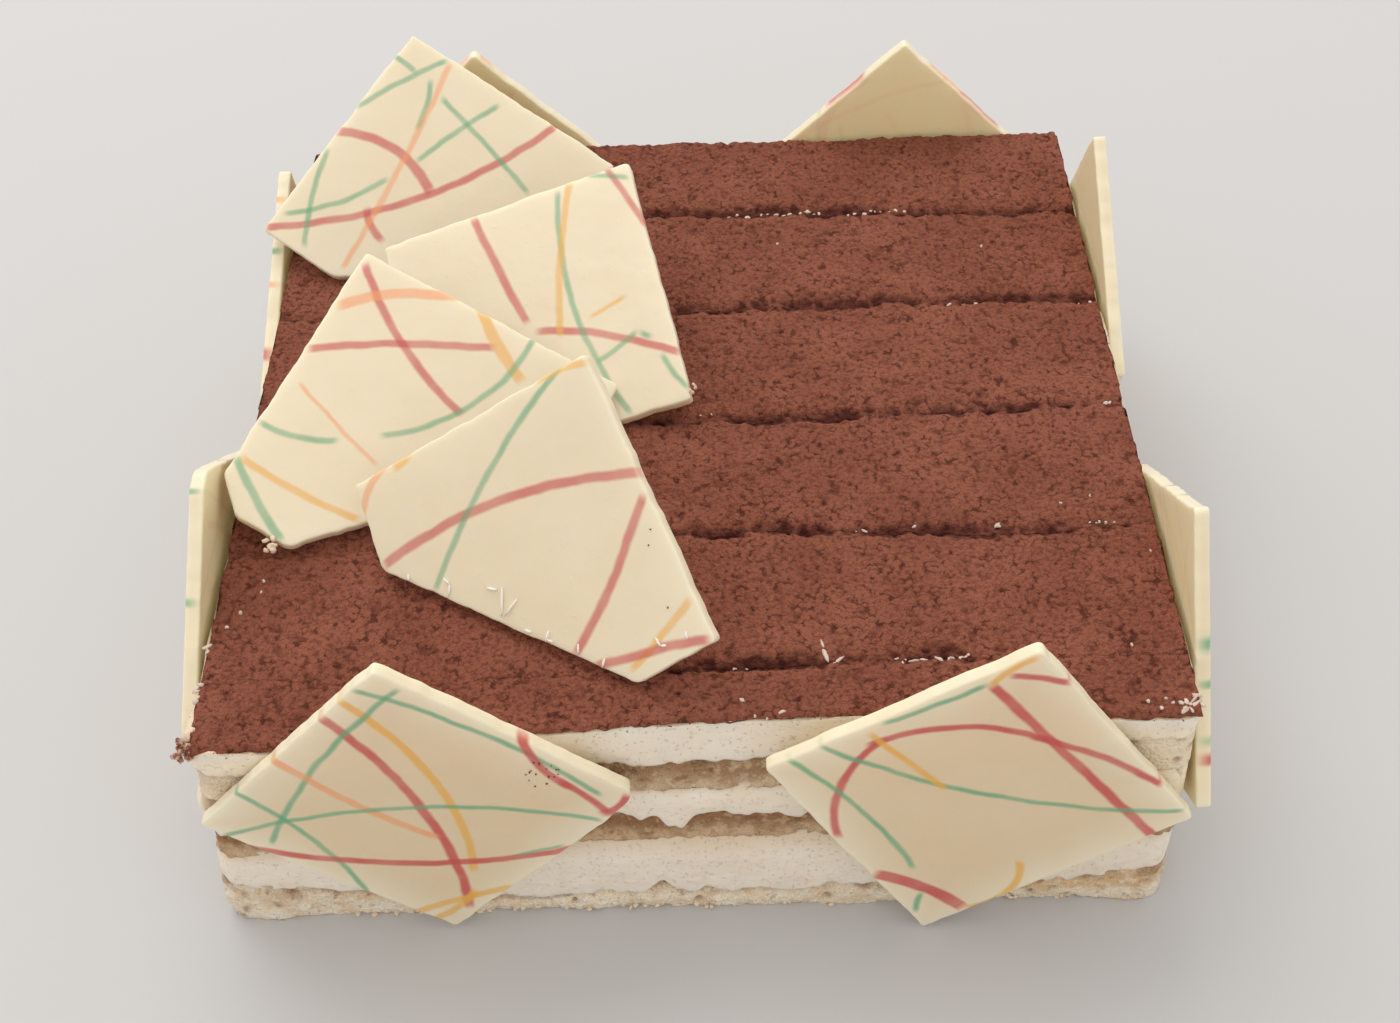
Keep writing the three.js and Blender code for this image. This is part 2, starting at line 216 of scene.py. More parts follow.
def ease(value):
    """Clips to 0..1 and makes both ends level."""
    value = np.clip(value, 0, 1)
    return value * value * (3 - 2 * value)


def bell(value, reach):
    """A bell curve: 1 at nothing, and falling away to both sides over that reach."""
    return np.exp(-((value / reach) ** 2))


def spread(*parts):
    """Points from their numbers, each an array or a plain number, on one grid."""
    return np.stack(np.broadcast_arrays(*parts), axis=-1)


def shell(name, rings, **marks):
    """One closed skin from rings of points, rows by columns, in millimetres. Neighbouring rings are joined
    by quads all the way round, and the first and last ring are closed by fans to their mean points. Each of
    'marks' is kept on the points as an attribute."""
    rows, columns = rings.shape[:2]
    points = np.concatenate([rings.reshape(-1, 3), rings[[0, -1]].mean(axis=1)])
    column = np.arange(columns)
    after = (column + 1) % columns
    row = np.arange(rows - 1)[:, None] * columns
    quads = spread(row + column, row + after, row + columns + after, row + columns + column)
    top, pole = (rows - 1) * columns, rows * columns
    low_fan = spread(after, column, pole)
    high_fan = spread(top + column, top + after, pole + 1)
    corners = np.concatenate([quads.ravel(), low_fan.ravel(), high_fan.ravel()])
    sizes = np.concatenate([np.full((rows - 1) * columns, 4), np.full(2 * columns, 3)])
    mesh = bpy.data.meshes.new(name)
    mesh.vertices.add(len(points))
    mesh.vertices.foreach_set("co", (points * MM).astype(np.float32).ravel())
    mesh.loops.add(len(corners))
    mesh.loops.foreach_set("vertex_index", corners.astype(np.int32))
    mesh.polygons.add(len(sizes))
    mesh.polygons.foreach_set("loop_start", (np.cumsum(sizes) - sizes).astype(np.int32))
    mesh.polygons.foreach_set("use_smooth", np.ones(len(sizes), bool))
    mesh.update(calc_edges=True)
    for mark, values in marks.items():
        flat = values.reshape(rows * columns, -1)
        ends = values.reshape(rows, columns, -1)[[0, -1]].mean(axis=1)
        kind = "FLOAT_VECTOR" if flat.shape[1] == 3 else "FLOAT"
        kept = mesh.attributes.new(mark, kind, "POINT")
        field = "vector" if kind == "FLOAT_VECTOR" else "value"
        kept.data.foreach_set(field, np.concatenate([flat, ends]).astype(np.float32).ravel())
    return mesh


def wall_line():
    """Points round the cake at its widest, and the outward direction at each: four straight runs joined by
    quarter circles, anticlockwise from the front left."""
    straight = HALF - CORNER
    run = np.arange(-straight, straight, WALL_STEP)
    bend = np.arange(0, np.pi / 2, WALL_STEP / CORNER)
    u = np.concatenate([run, straight + CORNER * np.sin(bend)])
    v = np.concatenate([np.full(len(run), -HALF), -straight - CORNER * np.cos(bend)])
    out_u = np.concatenate([np.zeros(len(run)), np.sin(bend)])
    out_v = np.concatenate([-np.ones(len(run)), -np.cos(bend)])
    turn = np.arange(4)[:, None] * np.pi / 2
    cos, sin = np.cos(turn), np.sin(turn)
    at = spread(u * cos - v * sin, u * sin + v * cos).reshape(-1, 2)
    out = spread(out_u * cos - out_v * sin, out_u * sin + out_v * cos).reshape(-1, 2)
    return at, out


def round_trip(at):
    """How far round the cake a point stands, in millimetres from the front left corner, by its nearest
    side."""
    x, y = at[..., 0], at[..., 1]
    front, right, back = -y >= np.abs(x), x > np.abs(y), y >= np.abs(x)
    side = np.where(front, 0, np.where(right, 1, np.where(back, 2, 3)))
    along = np.where(front, x, np.where(right, y, np.where(back, -x, -y)))
    return (2 * side + 1) * HALF + along


def rim_heights(node, at, upper):
    """The height of a packed layer's upper or lower edge beside each wall point: of its corners near the
    wall, each one that no neighbour passes, with straight lines between them."""
    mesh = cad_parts[node].data
    corners = np.zeros(3 * len(mesh.vertices), np.float32)
    mesh.vertices.foreach_get("co", corners)
    corners = np.unique(np.round(corners.reshape(-1, 3) / MM, 3), axis=0)
    corners = corners[np.abs(corners[:, :2]).max(axis=1) > RIM_REACH]
    trip = round_trip(corners)
    sign, window = (1, 1.6) if upper else (-1, 5.2)
    close = np.abs(trip[:, None] - trip[None, :]) < window
    best = np.where(close, sign * corners[None, :, 2], -np.inf).max(axis=1)
    edge = np.nonzero(sign * corners[:, 2] > best - 0.01)[0]
    edge = edge[np.argsort(trip[edge])]
    return np.interp(round_trip(at), trip[edge], corners[edge, 2], period=8 * HALF)


def bow(x):
    """How far the front wall falls back near its top: a bell curve along the front."""
    return BOW_DEPTH * bell(x - BOW_MIDDLE, BOW_REACH)


def right_corner(x, y):
    """How near a place is to the front right corner, from 0 to 1: a rise to the right times a rise to the
    front. The knife has dragged crumb and cream together there."""
    (side, side_run), (front, front_run) = RIGHT_DRAG
    return ease((x - side) / side_run) * ease((-y - front) / front_run)


def left_corner(x, y):
    """The same for the front left corner, where less is dragged together."""
    (side, side_run), (front, front_run) = LEFT_DRAG
    return ease((-x - side) / side_run) * ease((-y - front) / front_run)


def layer_rings(node, insets, rows, lips, relief, sunk=0):
    """A layer's closed skin. Its wall runs from the lower edge to the upper one, set back from the cake's
    widest line by 'insets' read from foot to head, and roughened by 'relief'. 'lips' are how far its lower
    and upper edges wander. Where the layers are merged at the right corner they overlap more and wander
    less. At the left one they bulge and splay outwards. The front wall falls back above 'BOW_START'. Rings
    that shrink towards the middle close it above and below, 'sunk' by so much."""
    share = np.linspace(0, 1, rows)[:, None]
    trail = spread(*WALL_AT.T, 0.0)
    seed = len(node) + rows
    wander = [waves(trail, *((high, long, seed + 2 * n + k) for n, (high, long) in enumerate(LIP_WAVES)))
              for k in (0, 1)]
    merged, pushed = right_corner(*WALL_AT.T), left_corner(*WALL_AT.T)
    steady = 1 - 0.8 * merged
    foot = rim_heights(node, WALL_AT, False) - EMBED - 0.5 * merged + lips[0] * wander[0] * steady
    foot = np.maximum(foot, 0)
    head = rim_heights(node, WALL_AT, True) + EMBED + lips[1] * wander[1] * steady
    for x, drop, width in DRIPS.get(node, ()):
        foot -= drop * bell(WALL_AT[:, 0] - x, width) * (WALL_OUT[:, 1] < -0.3)
    height = foot + (head - foot) * share
    inset = np.interp(share, np.linspace(0, 1, len(insets)), insets) + 0 * height
    inset *= 1 - 0.8 * np.maximum(merged, pushed)
    inset -= BULGE_OUT * pushed * bell(height - BULGE_HEIGHT, BULGE_REACH)
    inset += bow(WALL_AT[:, 0]) * np.clip(-WALL_OUT[:, 1], 0, 1) * ease((height - BOW_START) / BOW_RISE)
    inset -= relief(spread(*WALL_AT.T, height), share)
    wall = np.dstack([WALL_AT - WALL_OUT * inset[..., None], height])
    wall[..., 0] -= SPLAY_OUT * pushed * ease((SPLAY_HEIGHT - height) / SPLAY_REACH)
    shrink = np.array(CAP_SHARES)[:, None, None]
    caps = []
    for edge in (wall[0], wall[-1]):
        flat = edge[None, :, :2] * shrink
        near_edge = ease((shrink[..., 0] - 0.9) / 0.1)
        level = edge[:, 2].mean() + (edge[:, 2] - edge[:, 2].mean()) * near_edge - sunk * (1 - near_edge)
        caps.append(np.dstack([flat, level]))
    rings = np.concatenate([caps[0][::-1], wall, caps[1]])
    rise = np.concatenate([np.zeros(len(CAP_SHARES)), share[:, 0], np.ones(len(CAP_SHARES))])
    return rings, np.repeat(rise[:, None], rings.shape[1], axis=1)


WALL_AT, WALL_OUT = wall_line()

# Where the cream hangs down over the sponge below it (X, drop, width), or is torn upwards.
DRIPS = {
    "cream_middle": [(-4.7, 3.0, 1.5), (-2.3, 3.0, 1.5), (-9.5, 1.6, 1.2), (5, -0.8, 2.0), (17, 1.5, 2.0),
                     (21, -0.7, 1.5), (-14, -0.5, 2.0)],
    "cream_lower": [(-6.5, -3.4, 2.0), (-1.5, 0.8, 1.0), (1.5, -1.3, 1.2), (6, 0.9, 2.2), (11, -0.8, 1.2),
                    (21, 0.8, 1.2), (24, -0.7, 2.5), (62, 2.2, 1.8), (67, 1.0, 1.0), (-84, -1.5, 1.5)],
    "cream_upper": [(5, 0.4, 45), (-8, 0.6, 3), (1, -0.5, 2), (12, -0.7, 4), (24, 0.6, 2.5)],
}

# Large pores in the front wall (X, height, radius).
PORES = ((-74, 7.5, 1.5), (-77, 4.5, 0.9), (-82.5, 8.5, 0.7), (-83, 3.5, 0.8), (-66, 6.5, 0.6),
         (60.5, 3, 0.8), (67, 1.5, 0.8), (81.5, 41, 0.6), (84, 43, 0.7), (73, 45.5, 0.8), (81.5, 46.5, 0.6),
         (23.5, 3, 0.7), (0, 3, 0.8))


def mixed_share(spot):
    """How far crumb and cream are mixed, from 0 to 1: at the front right corner, between the lower cream
    and the head of the upper sponge, and less so and only higher up at the left one."""
    x, y, z = np.moveaxis(spot, -1, 0)
    right = RIGHT_MIX * right_corner(x, y) * ease((z - 22) / 5) * ease((50 - z) / 3)
    left = LEFT_MIX * left_corner(x, y) * ease((z - 32) / 3) * ease((49 - z) / 3)
    return np.maximum(right, left)


def pore_share(spot):
    """How deep a place lies in one of the large pores, from 0 to 1: a bell round each pore's middle."""
    depth = np.zeros(spot.shape[:-1])
    for x, z, radius in PORES:
        off = (spot[..., 0] - x) ** 2 + (spot[..., 2] - z) ** 2
        depth = np.maximum(depth, np.exp(-off / radius ** 2) * (spot[..., 1] < 5 - HALF))
    return depth


def sponge_relief(spot, share):
    """Open crumb: rounded clumps stand out, and pits are sunk where a noise is high. Where crumb and cream
    are mixed the wall is smoother. 'share' isn't needed here, as it is for cream."""
    pits = ease((noise(spot, PIT_SIZE, PIT_SEED) - 0.42) / 0.35)
    swells = waves(spot, (0.35, 4, 23), (0.35, 9, 24))
    rough = 0.6 * clumps(spot, 1.5, 17) + 0.2 * noise(spot, 0.9, 25) + swells - 0.9 * pits - 0.2
    return rough * (1 - mixed_share(spot)) - 1.2 * pore_share(spot)


def base_stain(rings, rise):
    """How far the base sponge is baked brown, from 0 to 1: in the upper part of its wall on the right of the
    front, and faintly elsewhere."""
    x, z = rings[..., 0], rings[..., 2]
    right = ease((x - 30) / 30)
    return 0.12 * rise + (0.25 + 0.55 * right) * ease((z - 3.4 - 0.8 * noise(rings, 6, 29)) / 1.6)


def soaked_stain_and_shade(start):
    """How far a soaked sponge is brown, from 0 to 1: in a wavy band from that share of its height up. It is
    partly coffee soaked in and partly painted shade under the cream that overhangs its head.
    """
    return lambda rings, rise: 0.08 + 0.85 * ease((rise - start + 0.2 * noise(rings, 5, 27)) / 0.4)


def mask_group(name, vectors, numbers):
    """An empty shader group that takes these vectors and numbers and gives one mask: its tree, what it is
    given, and the mask's socket."""
    group = bpy.data.node_groups.new(name, "ShaderNodeTree")
    for kind, sockets in (("NodeSocketVector", vectors), ("NodeSocketFloat", numbers)):
        for socket in sockets:
            group.interface.new_socket(socket, in_out="INPUT", socket_type=kind)
    group.interface.new_socket("Mask", in_out="OUTPUT", socket_type="NodeSocketFloat")
    return group, group.nodes.new("NodeGroupInput").outputs, group.nodes.new("NodeGroupOutput").inputs[0]


def span(tree, value, start, full, low=0.0, high=1.0, smooth=True):
    """A number from 'low' to 'high' as a value runs from 'start' to 'full', level at both ends if smooth."""
    kind = "SMOOTHSTEP" if smooth else "LINEAR"
    values = {0: value, 1: start, 2: full, 3: low, 4: high}
    return add(tree, "MapRange", values, interpolation_type=kind).outputs[0]


def make_spots():
    """The shader group for soft spots: a noise, and where it rises from 'Start' to 'Full'."""
    group, given, mask = mask_group("spots", ["Vector"], ["Scale", "Start", "Full"])
    values = {"Vector": given["Vector"], "Scale": given["Scale"], "Detail": 2.0}
    field = add(group, "TexNoise", values).outputs[0]
    group.links.new(span(group, field, given["Start"], given["Full"]), mask)
    return group


SPOTS = make_spots()


def per(size):
    """A texture's scale for features of that many millimetres, in metres' coordinates."""
    return 1 / (size * MM)


def spots(tree, place, size, start, full):
    """Soft spots of that size where a noise rises from 'start' to 'full'."""
    values = {"Vector": place, "Scale": per(size), "Start": start, "Full": full}
    return add(tree, "Group", values, node_tree=SPOTS).outputs["Mask"]


def where(tree):
    """The place on the object, in metres."""
    return add(tree, "TexCoord").outputs["Object"]


def mark(tree, name):
    """A number that is kept on the piece's points."""
    return add(tree, "Attribute", attribute_name=name).outputs["Fac"]


def blend(tree, share, under, over, mode="MIX"):
    """One colour laid over another by a share."""
    made = add(tree, "Mix", {0: share, 6: under, 7: over}, data_type="RGBA", blend_type=mode)
    return made.outputs[2]


def maths(tree, operation, one, other=0.0):
    """The outcome of a sum with one or two numbers."""
    return add(tree, "Math", {0: one, 1: other}, operation=operation).outputs[0]


def times(tree, one, other):
    """The product of two numbers."""
    return maths(tree, "MULTIPLY", one, other)


def speckle(tree, place, colour, *layers):
    """Soft spots over a colour, each layer given as its size, where its noise starts and is full, how strong
    it is, and its colour."""
    for size, start, full, strength, over in layers:
        colour = blend(tree, times(tree, spots(tree, place, size, start, full), strength), colour, over)
    return colour


def glow(shader, weight, radii, reach):
    """Light goes into the food and comes out nearby, up to 'reach' millimetres, more of red than of blue."""
    shader.inputs["Subsurface Weight"].default_value = weight
    shader.inputs["Subsurface Radius"].default_value = radii
    shader.inputs["Subsurface Scale"].default_value = reach * MM


def bump(tree, shader, layers, distance):
    """Fine relief from several noises, given as (height output, share)."""
    total = None
    for height, share in layers:
        part = times(tree, height, share)
        total = part if total is None else maths(tree, "ADD", total, part)
    made = add(tree, "Bump", {"Strength": 1.0, "Distance": distance * MM, "Height": total})
    tree.links.new(made.outputs[0], shader.inputs["Normal"])


def sponge_finish(name, base, shade):
    """Baked crumb: pale, browner where it is stained and, in the soaked sheets, where shade is painted under
    the cream above; its holes and pits are painted dark as shade, and it has a fine open grain.
    """
    material, tree, shader = finish(name, 0.92)
    place = where(tree)
    # Browner by the stain and shade mark: baked brown, coffee, and painted shade under the cream above.
    colour = blend(tree, mark(tree, "stain"), base, shade)
    # Browner and paler patches of the crumb, then small dark spots painted as shade in holes.
    colour = speckle(tree, place, colour, (4, 0.4, 0.65, 0.5, shade), (1.6, 0.5, 0.65, 0.5, base),
                     (1.1, 0.62, 0.68, 0.35, SPONGE_HOLE_SHADE))
    colour = blend(tree, mark(tree, "mixed"), colour, MIXED_COLOUR)
    # Painted shade in the pits, the large pores and the shadow line under the head.
    colour = blend(tree, times(tree, mark(tree, "hollow"), 0.7), colour, SPONGE_HOLE_SHADE)
    tree.links.new(colour, shader.inputs["Base Color"])
    glow(shader, 0.15, (1.0, 0.6, 0.35), 1.2)
    grains = [(spots(tree, place, 0.5, 0.2, 0.8), 1.0), (spots(tree, place, 1.3, 0.3, 0.7), 0.6)]
    bump(tree, shader, grains, 0.35)
    return material


def sponge_layer(node, insets, rows, lips, base, shade, stain):
    """One sheet of sponge. Painted shade is marked in the pits of its wall, in the large pores and in a
    ragged painted shadow line under its head, where the cream above overhangs. Its brown part is marked by
    the function it is given."""
    rings, rise = layer_rings(node, insets, rows, lips, sponge_relief)
    mixed = mixed_share(rings)
    # A ragged painted shadow line under the head, where the cream above overhangs the sponge.
    shadow_seam = 0.8 * ease((rise - 0.7) / 0.12) * ease(0.45 + 0.9 * noise(rings, 2.5, 33))
    pits = ease((noise(rings, PIT_SIZE, PIT_SEED) - 0.54) / 0.3)
    hollow = np.maximum(np.maximum(pits, shadow_seam) * (1 - mixed), pore_share(rings))
    name = node + "_crumb"
    mesh = shell(name, rings, stain=stain(rings, rise), hollow=hollow, mixed=mixed)
    return show(name, mesh, sponge_finish(name, base, shade))


base_sponge = sponge_layer("sponge_base", (0.9, 0.3, 0.1, 0.5, 1.4), 20, (0, 0.4), SPONGE_COLOUR,
                           SPONGE_SHADE, base_stain)
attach(base_sponge, "root")
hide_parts("sponge_base")


# ---- The lower cream ----
# Whipped mascarpone cream, the thickest layer, spread on the base sponge. Its wall is a smooth cut face with
# a few pores, painted dark as shade. It hangs over the sponge at its ragged foot, and its head is browner,
# partly stained by the sponge on it and partly painted shade under it.
CREAM_COLOUR = paint(246, 236, 221)
# Used for faint patches, and for the stain and painted shade at a layer's head.
CREAM_STAIN_AND_SHADE = paint(228, 204, 172)
CREAM_PORE_SHADE = paint(150, 116, 84)


def cream_relief(spot, share):
    """A cut face of soft cream: slow swells, and faint drag marks that run up and down. It is torn and rough
    towards its foot."""
    drag = noise(spot * np.array([1, 1, 0.25]), 2.2, 41)
    torn = waves(spot, (0.2, 1.3, 43), (0.2, 2.7, 44)) * ease((0.5 - share) / 0.35)
    return waves(spot, (0.35, 22, 31), (0.16, 6, 37)) + 0.07 * drag + torn - 0.15


def cream_finish(name, stain_start, dusted):
    """Cream: ivory and slightly translucent, with faint patches, rare pores painted dark as shade, a brown
    tint towards its head from the given share of its height on, partly stain from the sponge above and
    partly painted shade under it, and cocoa dust near its head where it is dusted."""
    material, tree, shader = finish(name, 0.55)
    place, rise = where(tree), mark(tree, "rise")
    colour = speckle(tree, place, CREAM_COLOUR, (9, 0.35, 0.75, 0.25, CREAM_STAIN_AND_SHADE))
    # Browner towards the head: partly stain from the sponge above and partly painted shade under it.
    colour = blend(tree, span(tree, rise, stain_start, 1.0, 0.0, 0.75), colour, CREAM_STAIN_AND_SHADE)
    colour = blend(tree, mark(tree, "mixed"), colour, MIXED_COLOUR)
    # Rare pores painted dark as shade.
    colour = speckle(tree, place, colour, (1.3, 0.74, 0.79, 0.6, CREAM_PORE_SHADE))
    if dusted:
        close = span(tree, rise, 0.7, 1.0, smooth=False)
        dust = times(tree, spots(tree, place, 0.7, 0.66, 0.72), close)
        colour = blend(tree, dust, colour, COCOA_DARK)
    tree.links.new(colour, shader.inputs["Base Color"])
    glow(shader, 0.35, (1.0, 0.75, 0.5), 2.5)
    marks = [(spots(tree, place, 2.0, 0.3, 0.7), 0.4), (spots(tree, place, 0.6, 0.6, 0.75), -1.0)]
    bump(tree, shader, marks, 0.2)
    return material


def cream_layer(node, insets, rows, lips, stain_start, sunk=0):
    """One layer of cream, with its height from foot to head and its mixed corner marked."""
    rings, rise = layer_rings(node, insets, rows, lips, cream_relief, sunk)
    name = node + "_cream"
    mesh = shell(name, rings, rise=rise, mixed=mixed_share(rings))
    return show(name, mesh, cream_finish(name, stain_start, sunk > 0))


lower_cream = cream_layer("cream_lower", (0.1, 0.0, 0.1, 0.2, 0.7, 1.8), 44, (0.9, 0.15), 0.62)
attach(lower_cream, "root")
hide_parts("cream_lower")


# ---- The middle sponge ----
# A second sheet of the same sponge, soaked with coffee and laid on the cream. It has shrunk back behind the
# cream. Its colours are darkened with painted shade, and it is browner towards its head, partly from the
# coffee and partly as painted shade under the cream above.
SOAKED_INSETS = (1.5, 2.0, 2.3, 2.4, 2.4)
MIDDLE_COLOUR = paint(222, 192, 154)
MIDDLE_SHADE = paint(158, 114, 76)

middle_sponge = sponge_layer("sponge_middle", SOAKED_INSETS, 22, (0.2, 0.4), MIDDLE_COLOUR, MIDDLE_SHADE,
                             soaked_stain_and_shade(0.12))
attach(middle_sponge, "root")
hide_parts("sponge_middle")


# ---- The middle cream ----
# A second layer of cream, half as thick, spread on the middle sponge. A lump of it has run down over the
# sponge at the front.
middle_cream = cream_layer("cream_middle", (0.2, 0.0, 0.0, 0.2, 0.7, 1.6), 22, (0.8, 0.15), 0.75)
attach(middle_cream, "root")
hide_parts("cream_middle")


# ---- The upper sponge ----
# The third sheet of sponge, laid on the middle cream. It is soaked too, and it is set back in the same way.
# It is a little paler than the middle sheet, whose colours carry more painted shade, and it is browner
# towards its head in the same way.
UPPER_COLOUR = paint(232, 209, 176)
UPPER_SHADE = paint(170, 131, 94)

upper_sponge = sponge_layer("sponge_upper", SOAKED_INSETS, 22, (0.2, 0.4), UPPER_COLOUR, UPPER_SHADE,
                            soaked_stain_and_shade(0.1))
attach(upper_sponge, "root")
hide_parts("sponge_upper")


# ---- The upper cream ----
# The top layer of cream, piped in six bands, each against the next. Its middle is kept low, under the cocoa,
# and cocoa has fallen on the edge of its wall.
COCOA_DARK = paint(92, 50, 38)

upper_cream = cream_layer("cream_upper", (0.6, 0.2, 0.1, 0.1, 0.2, 0.4), 20, (0.5, 0.1), 0.97, 2.6)
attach(upper_cream, "root")
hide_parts("cream_upper")


# ---- The cocoa ----
# Cocoa powder sieved thickly over the bands of cream. It lies in soft clumps about a millimetre across, and
# in each groove between two bands it is cracked. Shade is painted into the grooves, between the clumps and
# in the crevices between the granules, and light onto the granules' crests.
# The grooves' Y, the X of stations along them, and for each groove how open it is at each station.
GROOVES = (-70.5, -39.3, -7.6, 24.8, 56.2)
GROOVE_STATIONS = (-85, -50, -20, 10, 45, 62, 85)
GROOVE_STRENGTH = ((0.1, 0.1, 0.05, 0.85, 0.8, 0.05, 0.05), (0.25, 0.25, 0.4, 0.65, 1.0, 0.75, 0.4),
                   (0.5, 0.5, 0.65, 0.75, 0.95, 0.85, 0.65), (0.4, 0.4, 0.45, 0.75, 1.0, 0.9, 0.7),
                   (0.5, 0.5, 0.7, 1.0, 0.85, 0.75, 0.8))
GROOVE_DEPTH = 1.5
GROOVE_REACH = (1.3, 2.9)
BAND_STEP = 0.42
BAND_ROWS = 70
CRUST_LEVEL = 51.7
CRUST_TWIST = 1.4
CRUST_EDGE = HALF - 0.6
# The crust drops at its edge. It is thin there, thicker by so much further in, and nowhere thinner than the
# last number.
CRUST_DROP, CRUST_DROP_REACH = 0.8, 0.5
CRUST_THICK, CRUST_THICKER, CRUST_THINNEST = 1.3, 2.4, 0.7
COCOA_LIGHT = paint(153, 93, 74)
COCOA_MID = paint(140, 82, 65)
# Painted light on the granules' crests.
COCOA_CREST_LIGHT = paint(168, 104, 84)
# The painted shade in the grooves and between the clumps.
COCOA_HOLLOW_SHADE = paint(70, 30, 25)


def band_lines(x):
    """The lines that bound the six bands, front to back, as Y along each X: the bowed front edge, the five
    wandering grooves and the back edge."""
    trail = spread(x, 0.0, 0.0)
    lines = [-CRUST_EDGE + bow(x) + 0.35 * noise(trail, 1.6, 5)]
    for k, line in enumerate(GROOVES):
        drift = np.sin(x / 23 + 1.9 * k) + 0.7 * noise(trail, 7, 60 + k) + 0.45 * noise(trail, 1.8, 70 + k)
        lines.append(line + drift)
    lines.append(CRUST_EDGE - 0.35 * noise(trail, 1.6, 6))
    return lines


def crust_level(x, y):
    """The crests' height: level, but twisted at the front, where the right corner is higher than the
    left."""
    return CRUST_LEVEL + CRUST_TWIST * (x / HALF) * ease((60 - y) / 145)


def cocoa_height(x, y, from_front, from_back, groove_front, groove_back):
    """The dusted surface of a band: its level, less a bell-shaped fall to the groove at each side, plus
    swells, clumps and pits. Also how much painted shade each place takes, from 0 to 1: most in the grooves,
    some between the clumps."""
    spot = spread(x, y, 0.0)
    ragged = waves(spot, (0.45, 1.6, 16), (0.3, 0.9, 18))
    dip = bell(from_back, GROOVE_REACH[0]) * groove_back
    dip = np.maximum(dip, bell(from_front, GROOVE_REACH[1]) * groove_front)
    dip = np.clip(dip * (1 + 0.9 * ragged), 0, 1)
    broken = 0.9 + 0.3 * noise(spot, 9, 83)
    swell = waves(spot, (0.26, 17, 11), (0.14, 6, 12))
    grain = 0.42 * clumps(spot, 1.6, 13, (0,)) + 0.3 * clumps(spot, 1.0, 19, (0,))
    grain += 0.12 * noise(spot, 2.6, 14)
    pits = ease((noise(spot, 1.2, 15) - 0.38) / 0.35) * 0.3
    height = crust_level(x, y) - GROOVE_DEPTH * dip * broken + swell + grain - pits - 0.5
    # Painted shade between the clumps, where the grain is low, and deeper painted shade in the grooves.
    low = ease((0.34 - grain + pits) / 0.36)
    hollow = np.clip(0.9 * ease((dip * broken - 0.25) / 0.55) * (0.8 + 0.5 * ragged) + 0.4 * low, 0, 1)
    return height, hollow


def vector(tree, operation, *values):
    """The outcome of a sum with two or three vectors."""
    return add(tree, "VectorMath", enumerate(values), operation=operation).outputs[0]


def cocoa_finish():
    """Dry cocoa: matt brown granules, with painted light on their crests and painted shade here and there in
    the crevices between them and in small dark specks, and almost black-brown painted shade in the grooves
    and the hollows between clumps."""
    material, tree, shader = finish("cocoa", 1.0)
    place = where(tree)
    shift = add(tree, "TexNoise", {"Vector": place, "Scale": per(0.9), "Detail": 2.0}).outputs["Color"]
    bent = vector(tree, "MULTIPLY_ADD", shift, (0.4 * MM,) * 3, place)
    granule = add(tree, "TexVoronoi", {"Vector": bent, "Scale": per(1.0)}).outputs["Distance"]
    # Painted shade in the crevices between the granules, here and there.
    crevice_shade = times(tree, span(tree, granule, 0.6, 0.8), spots(tree, place, 3, 0.32, 0.58))
    colour = blend(tree, spots(tree, place, 14, 0.3, 0.7), COCOA_MID, COCOA_LIGHT)
    # Painted light on the granules' crests.
    colour = blend(tree, times(tree, span(tree, granule, 0.38, 0.12), 0.35), colour, COCOA_CREST_LIGHT)
    colour = blend(tree, times(tree, crevice_shade, 0.95), colour, COCOA_DARK)
    # Small dark specks, painted shade as in pits between the granules.
    colour = speckle(tree, place, colour, (0.8, 0.5, 0.64, 0.45, COCOA_DARK))
    # Painted shade, almost black-brown, in the grooves and between the clumps.
    colour = blend(tree, mark(tree, "hollow"), colour, COCOA_HOLLOW_SHADE)
    tree.links.new(colour, shader.inputs["Base Color"])
    shader.inputs["Specular IOR Level"].default_value = 0.2
    bump(tree, shader, [(granule, -0.75), (spots(tree, place, 0.45, 0.2, 0.8), 0.55)], 0.5)
    return material


COCOA = cocoa_finish()
crust_points = []
band_x = np.arange(-CRUST_EDGE, CRUST_EDGE + BAND_STEP, BAND_STEP)
band_x = band_x * CRUST_EDGE / band_x[-1]
lines = band_lines(band_x)

for k in range(len(lines) - 1):
    share = np.linspace(0, 1, BAND_ROWS)
    near, far = lines[k][:, None], lines[k + 1][:, None]
    y = near + (far - near) * share
    x = band_x[:, None] + 0 * y
    trail = spread(0.0, y, 0.0)
    x = x * (1 - 0.005 * (np.abs(x) / HALF) ** 30 * (1 + noise(trail, 1.6, 7)))
    strength = [np.interp(band_x, GROOVE_STATIONS, values)[:, None] for values in GROOVE_STRENGTH]
    strength = [0 * far, *strength, 0 * far]
    height, hollow = cocoa_height(x, y, y - near, far - y, strength[k], strength[k + 1])
    outward = np.minimum(HALF - np.abs(x), np.minimum(y - lines[0][:, None], lines[-1][:, None] - y))
    height -= CRUST_DROP * bell(np.clip(outward, 0, None), CRUST_DROP_REACH)
    under = crust_level(x, y) - CRUST_THICK - CRUST_THICKER * ease((outward - 1) / 5)
    under = np.minimum(under, height - CRUST_THINNEST)
    profile = spread(x, y, height)
    crust_points.append(profile.reshape(-1, 3))
    base = spread(x, y, under)[:, ::-1]
    loop = np.concatenate([profile, base[:, ::6]], axis=1)[:, ::-1]
    marks = np.concatenate([hollow, hollow[:, ::-1][:, ::6]], axis=1)[:, ::-1]
    name = f"cocoa_band_{k + 1}"
    band = show(name, shell(name, loop, hollow=marks), COCOA)
    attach(band, "root")
    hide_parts("cocoa_top")


